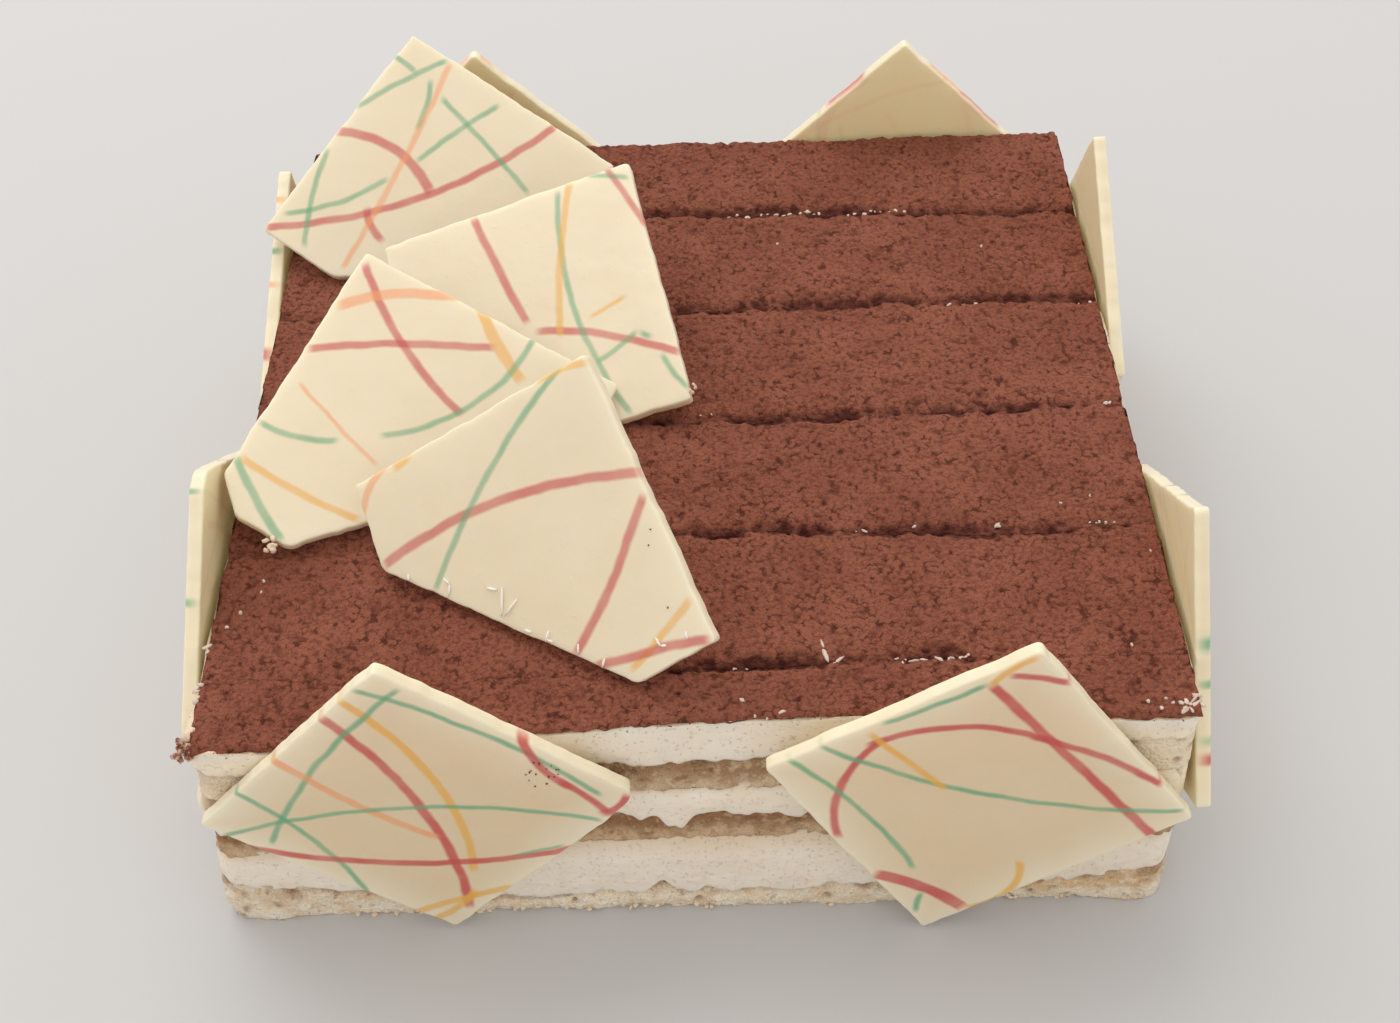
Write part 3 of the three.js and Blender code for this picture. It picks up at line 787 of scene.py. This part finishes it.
# ---- The white chocolate squares ----
# Thin sheets of white chocolate, 52 mm across, cast on a printed film: one face is smooth and carries fine
# drizzled lines of red, green and yellow cocoa butter. Four lean on the top with their lower corner cut off,
# each over the one behind, and eight stand on a corner round the sides, leaning on the cake.
SHEET = 2.6
SHEET_ROUND = 0.4
SHEET_CORNER = 1.1
CHOCOLATE = paint(237, 226, 200)
# Cloudy patches, and the painted shade in the middle of a standing square's face.
CHOCOLATE_CLOUD_AND_SHADE = paint(226, 202, 163)
# Painted light at the back, where light comes through the sheet.
CHOCOLATE_BACK_LIGHT = paint(255, 240, 200)
# Painted light along the rim.
CHOCOLATE_RIM_LIGHT = paint(246, 237, 212)
CHOCOLATE_GRAIN = 0.12
LYING_SPREAD = 1.12
LYING_STRENGTH = 0.82
HIDDEN_LINES = 9

# Each kind of drizzled line: its colour, half its width, and how strong it is.
DRIZZLES = {"red": (paint(204, 80, 78), 0.66, 0.92), "green": (paint(92, 172, 130), 0.48, 0.8),
            "yellow": (paint(236, 180, 70), 0.58, 0.82), "orange": (paint(242, 164, 108), 0.52, 0.75)}

# Each square: the middle of its printed face, the compass angle that the face looks along, how far it looks
# upwards, and its corners, in millimetres to the right and up as someone facing it sees them.
SQUARES = {
    "shard_top_1": ((-51.4, 50.1, 62.9), -90, 56,
                    [(-6, 37), (37, 6), (20.5, -16.8), (-22.3, -16.8), (-37.5, -6)]),
    "shard_top_2": ((-30.3, 11.3, 61.3), -114, 60.5,
                    [(-36.5, 6.5), (7, 36.8), (37, -7), (24, -15.6), (-20.8, -15.6)]),
    "shard_top_3": ((-49, -18.5, 60.5), -68, 63,
                    [(1, 37.8), (37.8, -2.5), (25.5, -14.4), (-30.4, -14.4), (-37.4, -6), (-37.2, 2.6)]),
    "shard_top_4": ((-27.8, -54.5, 62.6), -121, 39,
                    [(-1, 37), (37.5, 0), (26.4, -12.4), (-26.8, -12.4), (-37.5, 0)]),
    "shard_front_left": ((-47.2, -88.1, 39), -90, 0,
                         [(-2, 35), (36.6, 2.4), (36.2, -0.6), (33.4, -5), (2.6, -38.4), (-37.4, -4.5)]),
    "shard_front_right": ((48.5, -88.7, 38.2), -90, 2.5, [(6.5, 35.5), (36.8, -7.5), (-8, -38), (-37, 8.5)]),
    "shard_right_front": ((88.4, -51.3, 37.6), 0, 2.1, [(-5.6, 36), (35.5, 6.5), (6, -37.2), (-35.5, -7.5)]),
    "shard_right_back": ((88.4, 44.3, 38.8), 0, 2.1, [(-35.8, 5.8), (5.8, 35.6), (36, -5.6), (-5.5, -36)]),
    "shard_left_front": ((-88.8, -36.8, 38), 180, 2.1,
                         [(-37.5, 1.5), (-1.5, 29.6), (3, 29), (37.5, 3), (0.5, -37.6)]),
    "shard_left_back": ((-88.4, 46, 37), 180, 2.1, [(-37.5, -16), (-17, 25), (33, 3.6), (12, -36.6)]),
    "shard_back_left": ((-45.5, 88.3, 38.2), 90, 1.5, [(-36.8, 0.5), (0, 37), (36.8, 1), (-0.5, -37.8)]),
    "shard_back_right": ((48.4, 88.4, 37.6), 90, 2, [(-37.3, -0.5), (-0.4, 37.8), (36.5, 1), (0.5, -37.2)]),
}

# The drizzled lines: what kind, then X and Y of the start, the middle and the end of an arc on the square's
# face, and for a line that is thicker or thinner than usual, by how much.
LINES = {
    "shard_top_1": [
        ("red", -22, 15.5, -10, 11, -2, 1, 1.3), ("red", 24.5, 15, -4.5, 0, -37, -5.5),
        ("red", -15.5, -2, -14.5, -6, -12, -9.5), ("green", -17.5, 21, -8.5, 26, 1.5, 30.5),
        ("green", -10, 32, -7.5, 30.2, -5, 28), ("green", -2, 26, -3, 20.5, -5, 15),
        ("orange", 2, 29.5, -8.5, 7, -20.5, -15), ("green", 13, 20.5, 3.5, 14.5, -5, 8),
        ("green", 0.5, 22, 9.5, 11.5, 18.5, 0.5), ("green", -11, 4.5, -21.5, -0.5, -33, -2.5),
        ("green", -23.5, 12, -27, 1, -28.5, -10)],
    "shard_top_2": [
        ("red", -20, 17.5, -10.5, 8, -0.5, -1), ("red", 2.5, -2, 16.5, 1, 31.5, 1),
        ("green", -5, 27.5, 7.5, 4.5, 26.5, -13), ("yellow", -3, 29, 1, 13.5, 7, -2),
        ("red", 1.5, 35.5, 8.5, 30, 15.5, 24.5, 0.8), ("green", -0.5, 31.5, 4, 33, 8.5, 33.5, 0.8),
        ("green", 21.5, 3.5, 19, -1, 16, -5), ("green", 21.5, 3.5, 23.5, 3, 25, 3),
        ("green", 28, 0, 31.5, -3, 35.5, -5.5, 0.8), ("yellow", 11.5, 3.5, 14, 6.5, 17, 9.5, 0.6)],
    "shard_top_3": [
        ("red", 0, 35.5, 1.5, 17.5, 7.5, 0.5), ("red", -16, 22, 1.5, 17.5, 18, 11.5),
        ("orange", -8, 28.5, 4, 27.5, 15, 23.5, 1.7), ("yellow", 18, 21, 18.5, 12, 20.5, 3.5, 1.6),
        ("green", 26.5, 12, 10.5, 2, -8, 1), ("green", -28.5, 10.5, -22.5, 5.5, -15.5, 2.5),
        ("orange", -19, 16, -15, 5.5, -10.5, -4.5, 0.6), ("green", -34, 5, -33, -4, -31, -13, 1.3),
        ("yellow", -33, 4.5, -25.5, -5, -16.5, -13.5)],
    "shard_top_4": [
        ("red", -27, -11.5, -8, 8, 15.5, 21.5, 1.1), ("green", -15.5, -12, -12, 11.5, -4.5, 34),
        ("yellow", 0, 35.5, -4.5, 33, -8.5, 29.5), ("orange", -32, 6, -34, 1, -34, -4.5, 1.2),
        ("yellow", -30.5, 5.5, -29.4, 7.6, -28, 9.5, 1.5), ("red", 17, 19, 16.5, 3, 14, -12),
        ("yellow", 31, 5, 28, -3, 24.5, -10.5), ("red", 36.5, 0, 27, -6, 18, -12.5)],
    "shard_front_left": [
        ("red", -12, 24.5, 1.5, -2.5, 6, -32, 1.25), ("yellow", -8, 28, 4.5, 5.5, 8, -20.5, 1.25),
        ("green", 2, 31, -14.5, 11.5, -26, -10.5), ("green", -5.5, 30.5, 14.5, 18, 31.5, 1),
        ("red", 19.5, 20, 21.5, 10.5, 27, 3.5, 1.2), ("red", 24.5, 6, 29, 1, 32.5, -4),
        ("orange", -22, 14, -10.5, 1, 3, -10, 1.5), ("green", -30, 5, -18.5, -10, -11.5, -27.5),
        ("green", -34, -8, -1.5, -1, 31.5, -6), ("red", -28.5, -12, -2.5, -17.5, 27, -13.5, 1.2),
        ("yellow", -5, -33.5, 4.5, -29, 14.5, -25.5, 1.3), ("yellow", -2.5, -36, 3.5, -32, 7.5, -26, 1.3),
        ("green", 15.5, -16, 20, -14.2, 24.5, -13, 0.6), ("red", 32, -4, 34.6, -2.2, 36.2, 1.4, 1.5)],
    "shard_front_right": [
        ("red", -23, -13, -24, 3.5, -17, 15.5), ("red", -17, 15.5, -5, 18, 10, 14),
        ("red", 6, 15.5, 19, 9.5, 30, 1.5), ("red", 0, 27, 16, 6.5, 32.5, -15, 1.3),
        ("red", 2, 30, 7, 29.5, 12, 28), ("yellow", -1, 27.5, 2, 31.5, 6, 34.5),
        ("green", -17.5, 19.5, -9.5, 23.5, -1.5, 28), ("green", -27.5, 14, 2, 0, 34.5, -5.5),
        ("green", -33, 11, -20, -3.5, -10.5, -20), ("yellow", -19.5, 17, -13, 9.5, -6, 2),
        ("yellow", 8, -18.5, 6.5, -27, -1, -32, 1.2), ("red", -18, -21, -8.5, -25.5, -1, -32, 1.9),
        ("green", -9, -27.5, -9.6, -30, -9.5, -33)],
}
# Lines that show at the rim of squares whose printed face is hidden.
RIM_LINES = {
    "shard_back_right": [
        ("red", -12, 27, -20, 18, -28, 13, 1.6), ("orange", -6, 32, -14, 22, -17, 10, 1.3),
        ("red", 9, 28, 15, 21, 17, 10, 1.4)],
    "shard_back_left": [
        ("orange", -7, 31, 0, 35, 7, 31, 1.6), ("red", 10, 27, 14, 20, 15, 10)],
}


def loose_lines(seed):
    """Drizzle for a face that isn't seen in the view: long shallow arcs across the square, each turned on
    from the last by about the golden section of a half turn, in turn red, green, yellow, green, orange."""
    draw = np.random.default_rng(seed)
    drawn = []
    for k in range(HIDDEN_LINES):
        angle = (k + draw.uniform(-0.8, 0.8)) * 0.618 * np.pi
        reach = draw.uniform(14, 28)
        along = np.array([np.cos(angle), np.sin(angle)])
        across = np.array([-along[1], along[0]])
        middle = draw.uniform(-22, 22) * across + draw.uniform(-8, 8) * along
        bulge = draw.uniform(0.05, 0.25) * reach * draw.choice((-1, 1))
        colour = ("red", "green", "yellow", "green", "orange")[k % 5]
        via = middle + across * bulge
        drawn.append((colour, *(middle - along * reach), *via, *(middle + along * reach)))
    return drawn


def arc_through(a, b, c):
    """Centre and radius of the circle through three points: the two perpendicular bisectors meet there. The
    middle point of a nearly straight line is first moved a little aside."""
    sides = 2 * np.array([b - a, c - a])
    if abs(np.linalg.det(sides)) < 0.5:
        b = b + 0.02 * np.array([-(c - a)[1], (c - a)[0]])
        sides = 2 * np.array([b - a, c - a])
    centre = np.linalg.solve(sides, [b @ b - a @ a, c @ c - a @ a])
    return centre, np.linalg.norm(a - centre)


def gap(tree, one, other):
    """The distance between two places."""
    return add(tree, "VectorMath", {0: one, 1: other}, operation="DISTANCE").outputs["Value"]


def make_drizzle():
    """The shader group for one drizzled line: full where the place is within half a width of a circle and
    within reach of the arc's middle, with soft edges."""
    group, given, mask = mask_group("drizzle", ["Place", "Centre", "Middle"],
                                    ["Radius", "Half width", "Reach", "Strength"])
    off = maths(group, "SUBTRACT", gap(group, given["Place"], given["Centre"]), given["Radius"])
    off = maths(group, "SUBTRACT", maths(group, "ABSOLUTE", off), given["Half width"])
    far = maths(group, "SUBTRACT", gap(group, given["Place"], given["Middle"]), given["Reach"])
    line = times(group, span(group, off, -0.35, 0.42, 1.0, 0.0), span(group, far, -1.4, 0.7, 1.0, 0.0))
    group.links.new(times(group, line, given["Strength"]), mask)
    return group


DRIZZLE = make_drizzle()


def chocolate_finish(name, drawn, standing):
    """White chocolate: ivory and translucent, with painted light that makes it paler at the rim and paler
    and yellower at its back, where light comes through the sheet, and with its drizzled lines, which show
    faintly through at the back. Its face has faint cloudy patches, and a standing square's face has painted
    shade in its middle.
    The lines waver a little, because the place they are drawn at is shifted by a noise."""
    material, tree, shader = finish(name, 0.36)
    sheet = add(tree, "Attribute", attribute_name="sheet").outputs["Vector"]
    rim, place = mark(tree, "rim"), where(tree)
    across, up, behind = add(tree, "SeparateXYZ", {0: sheet}).outputs
    flat = add(tree, "CombineXYZ", {0: across, 1: up}).outputs[0]
    ripple = add(tree, "TexNoise", {"Vector": flat, "Scale": 0.14, "Detail": 2.0}).outputs["Color"]
    ripple = vector(tree, "SUBTRACT", ripple, (0.5, 0.5, 0.5))
    wavy = vector(tree, "ADD", flat, vector(tree, "MULTIPLY", ripple, (1.1, 1.1, 0)))
    shown = span(tree, behind, 0.4, SHEET, 1.0, 0.12, smooth=False)
    worn = span(tree, spots(tree, place, 7, 0.3, 0.7), 0.0, 1.0, 1.0, 0.82, smooth=False)
    shown = times(tree, shown, worn)
    # Faint cloudy patches, stronger on standing squares.
    colour = speckle(tree, place, CHOCOLATE, (12, 0.3, 0.75, 0.4 if standing else 0.15, CHOCOLATE_CLOUD_AND_SHADE))
    # Painted shade in the middle of a standing square's face.
    if standing:
        colour = blend(tree, span(tree, rim, 0.9, 0.1, 0.0, 0.65, smooth=False), colour, CHOCOLATE_CLOUD_AND_SHADE)
    # Painted light at the back: paler and yellower, as if light comes through the sheet.
    colour = blend(tree, span(tree, behind, 1.2, SHEET, smooth=False), colour, CHOCOLATE_BACK_LIGHT)
    # Painted light along the rim, where light comes through the thin edge.
    colour = blend(tree, times(tree, rim, 0.5), colour, CHOCOLATE_RIM_LIGHT)
    for kind, *numbers in drawn:
        start, via, end = np.reshape(numbers[:6], (3, 2)).astype(float)
        centre, radius = arc_through(start, via, end)
        over, half, strength = DRIZZLES[kind]
        thick = numbers[6] if len(numbers) > 6 else 1
        half *= thick * (1 if standing else LYING_SPREAD)
        strength *= 1 if standing else LYING_STRENGTH
        line = add(tree, "Group", {
            "Place": wavy, "Centre": (*centre, 0), "Middle": (*via, 0), "Radius": radius, "Half width": half,
            "Reach": float(np.linalg.norm(end - via)), "Strength": strength}, node_tree=DRIZZLE)
        colour = blend(tree, times(tree, line.outputs[0], shown), colour, over)
    tree.links.new(colour, shader.inputs["Base Color"])
    glow(shader, 0.5, (1.0, 0.8, 0.5), 3.0)
    swells = [(spots(tree, place, 7, 0.2, 0.8), 1.0), (spots(tree, place, 1.5, 0.6, 0.8), 0.25)]
    bump(tree, shader, swells, CHOCOLATE_GRAIN)
    return material


def square_outline(corners, seed):
    """The square's outline, anticlockwise: straight runs and a curve round each corner, with its edge made
    slightly uneven along its outward direction. Gives the points and their outward directions."""
    corners = np.array(corners, float)
    ahead = np.roll(corners, -1, axis=0)
    if np.sum(corners[:, 0] * ahead[:, 1] - corners[:, 1] * ahead[:, 0]) < 0:
        corners = corners[::-1]
    turns = []
    bend = np.linspace(0, 1, 7)[:, None]
    for k, corner in enumerate(corners):
        before, after = corners[k - 1], corners[(k + 1) % len(corners)]
        enter = corner + (before - corner) * min(0.4, SHEET_CORNER / np.linalg.norm(before - corner))
        leave = corner + (after - corner) * min(0.4, SHEET_CORNER / np.linalg.norm(after - corner))
        curve = (1 - bend) ** 2 * enter + 2 * bend * (1 - bend) * corner + bend ** 2 * leave
        next_enter = after + (corner - after) * min(0.4, SHEET_CORNER / np.linalg.norm(corner - after))
        steps = max(2, int(np.linalg.norm(next_enter - leave) / 0.6))
        run = leave + (next_enter - leave) * (np.arange(1, steps) / steps)[:, None]
        turns += [curve, run]
    path = np.concatenate(turns)
    along = np.roll(path, -1, axis=0) - np.roll(path, 1, axis=0)
    out = spread(along[:, 1], -along[:, 0])
    out /= np.linalg.norm(out, axis=1)[:, None]
    uneven = waves(spread(*path.T, 50.0 * seed), (0.22, 5, 3), (0.14, 1.6, 4)) - 0.1
    path = path + out * uneven[:, None]
    return path, out


def square_rings(corners, seed):
    """A square's closed skin in its own frame: rings grow from the middle of the back out to the rim, round
    it by two quarter circles, and shrink again over the printed face. The third number is the height, 0 at
    the printed face and minus the thickness at the back. Also how near the rim each ring is."""
    path, out = square_outline(corners, seed)
    middle = path.mean(axis=0)
    quarter = np.linspace(0, np.pi / 2, 5)
    inset = SHEET_ROUND * (1 - np.sin(quarter))
    drop = SHEET_ROUND * (1 - np.cos(quarter))
    faces = (0.05, 0.35, 0.6, 0.8, 0.9, 0.96)
    border = path - out * SHEET_ROUND
    face = [middle + (border - middle) * share for share in faces]
    back = [spread(*ring.T, -SHEET) for ring in face]
    front = [spread(*ring.T, 0.0) for ring in face]
    rim = [spread(*(path - out * i).T, d - SHEET) for i, d in zip(inset, drop)]
    rim += [spread(*(path - out * i).T, -d) for i, d in zip(inset[::-1], drop[::-1])]
    rings = np.array(back + rim + front[::-1])
    # How near the rim: it sets the painted light at the rim and the painted shade in a standing square's
    # middle.
    near = [max(0.0, (share - 0.55) / 0.45) ** 2 * 0.8 for share in faces]
    nearness = np.array(near + [1.0] * len(rim) + near[::-1])
    return rings, np.repeat(nearness[:, None], len(path), axis=1)


def square_place(facing, lift):
    """The square's right, up and outward directions in the cake's frame, as rows."""
    facing, lift = np.radians([facing, lift])
    out = np.array([np.cos(lift) * np.cos(facing), np.cos(lift) * np.sin(facing), np.sin(lift)])
    up = np.array([0, 0, 1]) - out * out[2]
    up /= np.linalg.norm(up)
    return np.array([np.cross(up, out), up, out])


for seed, (node, (at, facing, lift, corners)) in enumerate(SQUARES.items(), 1):
    rings, nearness = square_rings(corners, seed)
    placed = rings @ square_place(facing, lift) + np.array(at)
    sheet = rings * np.array([1, 1, -1])
    name = node.replace("shard", "chocolate")
    drawn = LINES[node] if node in LINES else loose_lines(seed) + RIM_LINES.get(node, [])
    dress = chocolate_finish(name, drawn, lift < 10)
    square = show(name, shell(name, placed, sheet=sheet, rim=nearness), dress)
    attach(square, "root")
    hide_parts(node)


# ---- Cream that shows through the cocoa ----
# Where the crust is cracked, in the grooves and at the two front corners, bits of cream stick out of it. A
# few specks lie loose. Each bit is a small lump of its own shape, set into the crust.
CREAM_BIT = paint(216, 200, 186)
PEBBLE_TILTS = (-54, -18, 18, 54)
PEBBLE_SIDES = 7

# Rows of bits along a groove: its Y, the X where the row starts and ends, and how many bits.
CREAM_ROWS = ((57.5, 10, 14, 4), (57.5, 16, 23, 7), (57.5, 25, 31, 6), (57.5, 36, 47, 9), (-38.5, 30, 32, 2),
              (-38.5, 40, 41, 1), (-38.5, 54.5, 57.5, 4), (-38.5, 72.5, 76.5, 5), (25, 54.5, 59, 4),
              (25, 81.5, 83.5, 2), (-6.5, 2.5, 4.5, 2), (-6.5, 81, 84, 3), (-69.5, 7.5, 9, 3),
              (-69.5, 35, 36.5, 3), (-69.5, 37, 40, 5), (-69.5, 41, 43, 3), (-69.5, 44, 47, 5))

# Cracks with cream in them: the X and Y of both ends.
CREAM_CRACKS = ((-85, -62, -83.5, -61.5), (-84.5, -63, -83.5, -62.5), (-85, -71.5, -84.5, -70),
                (-84.5, -70, -83.5, -70), (-85, -71.5, -84, -71.5), (-85, -73.5, -83.5, -72.5),
                (-84.5, -74, -84, -73.5), (82, -82.5, 84.5, -81), (82, -82.5, 81.5, -80),
                (82, -82.5, 80.5, -83.5), (82.5, -82, 84, -79.5), (83, -80, 84.5, -80.5),
                (80.5, -81, 81.5, -82), (84, -82, 84.5, -82.5), (82, -82.5, 82.5, -83.5),
                (82, -82, 82.5, -82), (83, -80.5, 84, -80), (81, -83, 81.5, -82.5),
                (22.5, -64.5, 22.5, -66.5), (22.5, -66.5, 23.5, -69.5), (23.5, -69.5, 26.5, -68.5),
                (8, -77, 9, -78), (14.5, -80.5, 15.5, -80))
CREAM_SPECKS = ((-76.5, -47), (-76.5, -49.5), (-81.5, -57.5), (-79.5, -54.5), (75.5, -81), (78.5, -80.5),
                (79.5, -81.5), (77.5, -82.5), (19.5, 46), (62.5, 43), (10.5, -80.5), (12.5, -81), (68, -34),
                (73.5, -32.5), (82, -47), (75, -68.5))


def pebbles(name, centres, halves, turns, material, place=np.eye(3), seed=1):
    """Many small lumps as one piece. Each is a ball of four rings and two poles, squeezed to its own three
    half sizes, pushed in or out at random and turned by its own angle in degrees. 'place' turns them all."""
    draw = np.random.default_rng(seed)
    tilt = np.radians(PEBBLE_TILTS)[:, None]
    turn = np.arange(PEBBLE_SIDES) * 2 * np.pi / PEBBLE_SIDES
    ball = spread(np.cos(tilt) * np.cos(turn), np.cos(tilt) * np.sin(turn), np.sin(tilt))
    ball = np.concatenate([ball.reshape(-1, 3), [(0, 0, -1), (0, 0, 1)]])
    lumps = ball * draw.uniform(0.7, 1.2, (len(centres), len(ball), 1)) * np.array(halves)[:, None, :]
    cos, sin = np.cos(np.radians(turns))[:, None], np.sin(np.radians(turns))[:, None]
    x, y, z = np.moveaxis(lumps, -1, 0)
    points = spread(x * cos - y * sin, x * sin + y * cos, z) @ place + np.array(centres)[:, None, :]
    side = np.arange(PEBBLE_SIDES)
    after = (side + 1) % PEBBLE_SIDES
    row = np.arange(len(PEBBLE_TILTS) - 1)[:, None] * PEBBLE_SIDES
    quads = spread(row + side, row + after, row + after + PEBBLE_SIDES, row + side + PEBBLE_SIDES)
    top, pole = (len(PEBBLE_TILTS) - 1) * PEBBLE_SIDES, len(ball) - 2
    fans = np.concatenate([spread(after, side, pole), spread(top + side, top + after, pole + 1)])
    first = np.arange(len(centres))[:, None, None] * len(ball)
    faces = (first + quads.reshape(1, -1, 4)).reshape(-1, 4).tolist()
    faces += (first + fans).reshape(-1, 3).tolist()
    mesh = bpy.data.meshes.new(name)
    mesh.from_pydata((points.reshape(-1, 3) * MM).tolist(), [], faces)
    mesh.shade_smooth()
    made = show(name, mesh, material)
    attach(made, "root")
    return made


def on_crust(at):
    """Places on the cocoa, from X and Y: each takes the height of the nearest point of the cocoa's mesh."""
    at = np.array(at, float)
    crust = np.concatenate(crust_points)[::3]
    nearest = np.argmin(((at[:, None, :] - crust[None, :, :2]) ** 2).sum(axis=-1), axis=1)
    return np.column_stack([at, crust[nearest, 2]])


def halves_and_turns(ends):
    """For thin bits given by both their ends: their middles, half their lengths, and their angles in
    degrees."""
    ends = np.array(ends, float)
    run = ends[:, 2:] - ends[:, :2]
    turns = np.degrees(np.arctan2(run[:, 1], run[:, 0]))
    return (ends[:, :2] + ends[:, 2:]) / 2, np.linalg.norm(run, axis=1) / 2, turns


draw = np.random.default_rng(5)
cream_bit_finish = plain_finish("cream_bits", 0.6, CREAM_BIT)

row_at = np.concatenate([spread(np.linspace(start, end, count), y) for y, start, end, count in CREAM_ROWS])
row_at = row_at + draw.normal(0, (0.6, 0.3), row_at.shape)
row_halves = draw.uniform((0.25, 0.2, 0.2), (0.95, 0.6, 0.4), (len(row_at), 3))
cream_rows = pebbles("cream_row_bits", on_crust(row_at) - (0, 0, 0.12), row_halves,
                     draw.uniform(-50, 50, len(row_at)), cream_bit_finish, seed=2)

crack_at, crack_halves, crack_turns = halves_and_turns(CREAM_CRACKS)
crack_halves = np.column_stack([crack_halves + 0.25, draw.uniform(0.25, 0.5, (len(CREAM_CRACKS), 2))])
crack_turns = crack_turns + draw.normal(0, 12, len(CREAM_CRACKS))
cream_cracks = pebbles("cream_crack_bits", on_crust(crack_at) - (0, 0, 0.1), crack_halves, crack_turns,
                       cream_bit_finish, seed=3)

speck_halves = draw.uniform(0.22, 0.5, (len(CREAM_SPECKS), 3))
cream_specks = pebbles("cream_specks", on_crust(CREAM_SPECKS), speck_halves,
                       draw.uniform(0, 180, len(CREAM_SPECKS)), cream_bit_finish, seed=4)


# ---- Sponge crumbs ----
# Small pale crumbs, torn off the base sponge by the knife. They cling to the foot of its wall all the way
# round, one here and a few there.
CRUMB_COLOUR = paint(236, 218, 192)
FOOT_CRUMBS = 420
foot_at = draw.integers(0, len(WALL_AT), FOOT_CRUMBS)
foot_halves = draw.uniform(0.2, 0.65, (FOOT_CRUMBS, 3)) * np.array([1.2, 1, 0.8])
foot_place = WALL_AT[foot_at] + WALL_OUT[foot_at] * draw.uniform(-1.0, -0.1, (FOOT_CRUMBS, 1))
foot_rise = foot_halves[:, 2] * 1.2 + draw.exponential(0.7, FOOT_CRUMBS)
crumb_finish = plain_finish("crumbs", 0.92, CRUMB_COLOUR)
foot_crumbs = pebbles("foot_crumbs", np.column_stack([foot_place, foot_rise]), foot_halves,
                      draw.uniform(0, 180, FOOT_CRUMBS), crumb_finish, seed=6)


# ---- The corner clump ----
# At the front left corner the cocoa and the cream under it have rolled up into a lump. It is cream with
# patches of cocoa on it.
CLUMP_PLACE = (-84.6, -83.8, 50.1)
CLUMP_SPREAD = (0.5, 0.8, 0.8)
CLUMP_LUMPS = 26
DUSTED_CREAM = paint(206, 176, 152)

dusted_finish, dusted_tree, dusted_shader = finish("dusted_cream", 0.8)
dust = spots(dusted_tree, where(dusted_tree), 0.8, 0.42, 0.6)
dusted_tree.links.new(blend(dusted_tree, dust, DUSTED_CREAM, COCOA_MID), dusted_shader.inputs["Base Color"])
corner_clump = pebbles("corner_clump", draw.normal(CLUMP_PLACE, CLUMP_SPREAD, (CLUMP_LUMPS, 3)),
                       draw.uniform(0.35, 0.85, (CLUMP_LUMPS, 3)), draw.uniform(0, 180, CLUMP_LUMPS),
                       dusted_finish, seed=14)


# ---- Shavings and crumbs on the squares ----
# Thin curls of white chocolate, scraped off when the squares were parted, stick to the front top square.
# Crumbs of sponge and of cocoa cling to four squares.
SHAVING_COLOUR = paint(255, 253, 248)
SHAVING_HALF = (0.24, 0.22)

# Shavings: X and Y of both ends on the square's face.
SHAVINGS = ((-3, -6, -1.5, -11), (0.5, -7, -1, -11), (-6, -7.5, -3.5, -7), (-14.5, -9, -13, -9.5),
            (-13, -9.5, -12.5, -11.5), (3.5, -11.5, 5, -11.5), (8, -11.5, 9.5, -11.5), (8, -10, 8, -12),
            (14, -10, 14.5, -11.5), (19.5, -10.5, 19.5, -12), (27, -3.5, 28.5, -4.5), (28.5, -4.5, 29.5, -4),
            (32, -0.5, 32.5, -1.5), (-21.5, -11, -21, -12))

# Crumbs: the square, the middle of the patch on its face, how far they scatter, how many, their half size,
# the finish and the food.
FACE_CRUMBS = (("shard_top_3", (-32.5, -14), (0.8, 0.7), 8, 0.6, crumb_finish, "sponge"),
               ("shard_top_2", (36.5, -5.5), (0.3, 0.6), 5, 0.45, crumb_finish, "sponge"),
               ("shard_top_4", (26, 4), (4.5, 5), 3, 0.2, COCOA, "cocoa"),
               ("shard_front_left", (22, 8), (1.8, 1.8), 18, 0.15, COCOA, "cocoa"))


def on_face(node, flat, height):
    """Places on a square's printed face, or that far off it, in the cake's frame, and the square's own
    directions."""
    at, facing, lift, _ = SQUARES[node]
    basis = square_place(facing, lift)
    return spread(*flat.T, height) @ basis + np.array(at), basis


shaving_at, shaving_halves, shaving_turns = halves_and_turns(SHAVINGS)
shaving_at, basis = on_face("shard_top_4", shaving_at, 0.22)
shaving_halves = spread(shaving_halves + 0.15, *SHAVING_HALF)
shaving_finish = plain_finish("shavings", 0.4, SHAVING_COLOUR)
shavings = pebbles("chocolate_shavings", shaving_at, shaving_halves, shaving_turns, shaving_finish, basis,
                   seed=7)

for node, middle, scatter, count, half, dress, slot in FACE_CRUMBS:
    centres, basis = on_face(node, draw.normal(middle, scatter, (count, 2)), 0.1)
    name = node.replace("shard", "crumbs")
    crumbs = pebbles(name, centres, draw.uniform(0.6, 1.4, (count, 3)) * half,
                     draw.uniform(0, 180, count), dress, basis, seed=count)
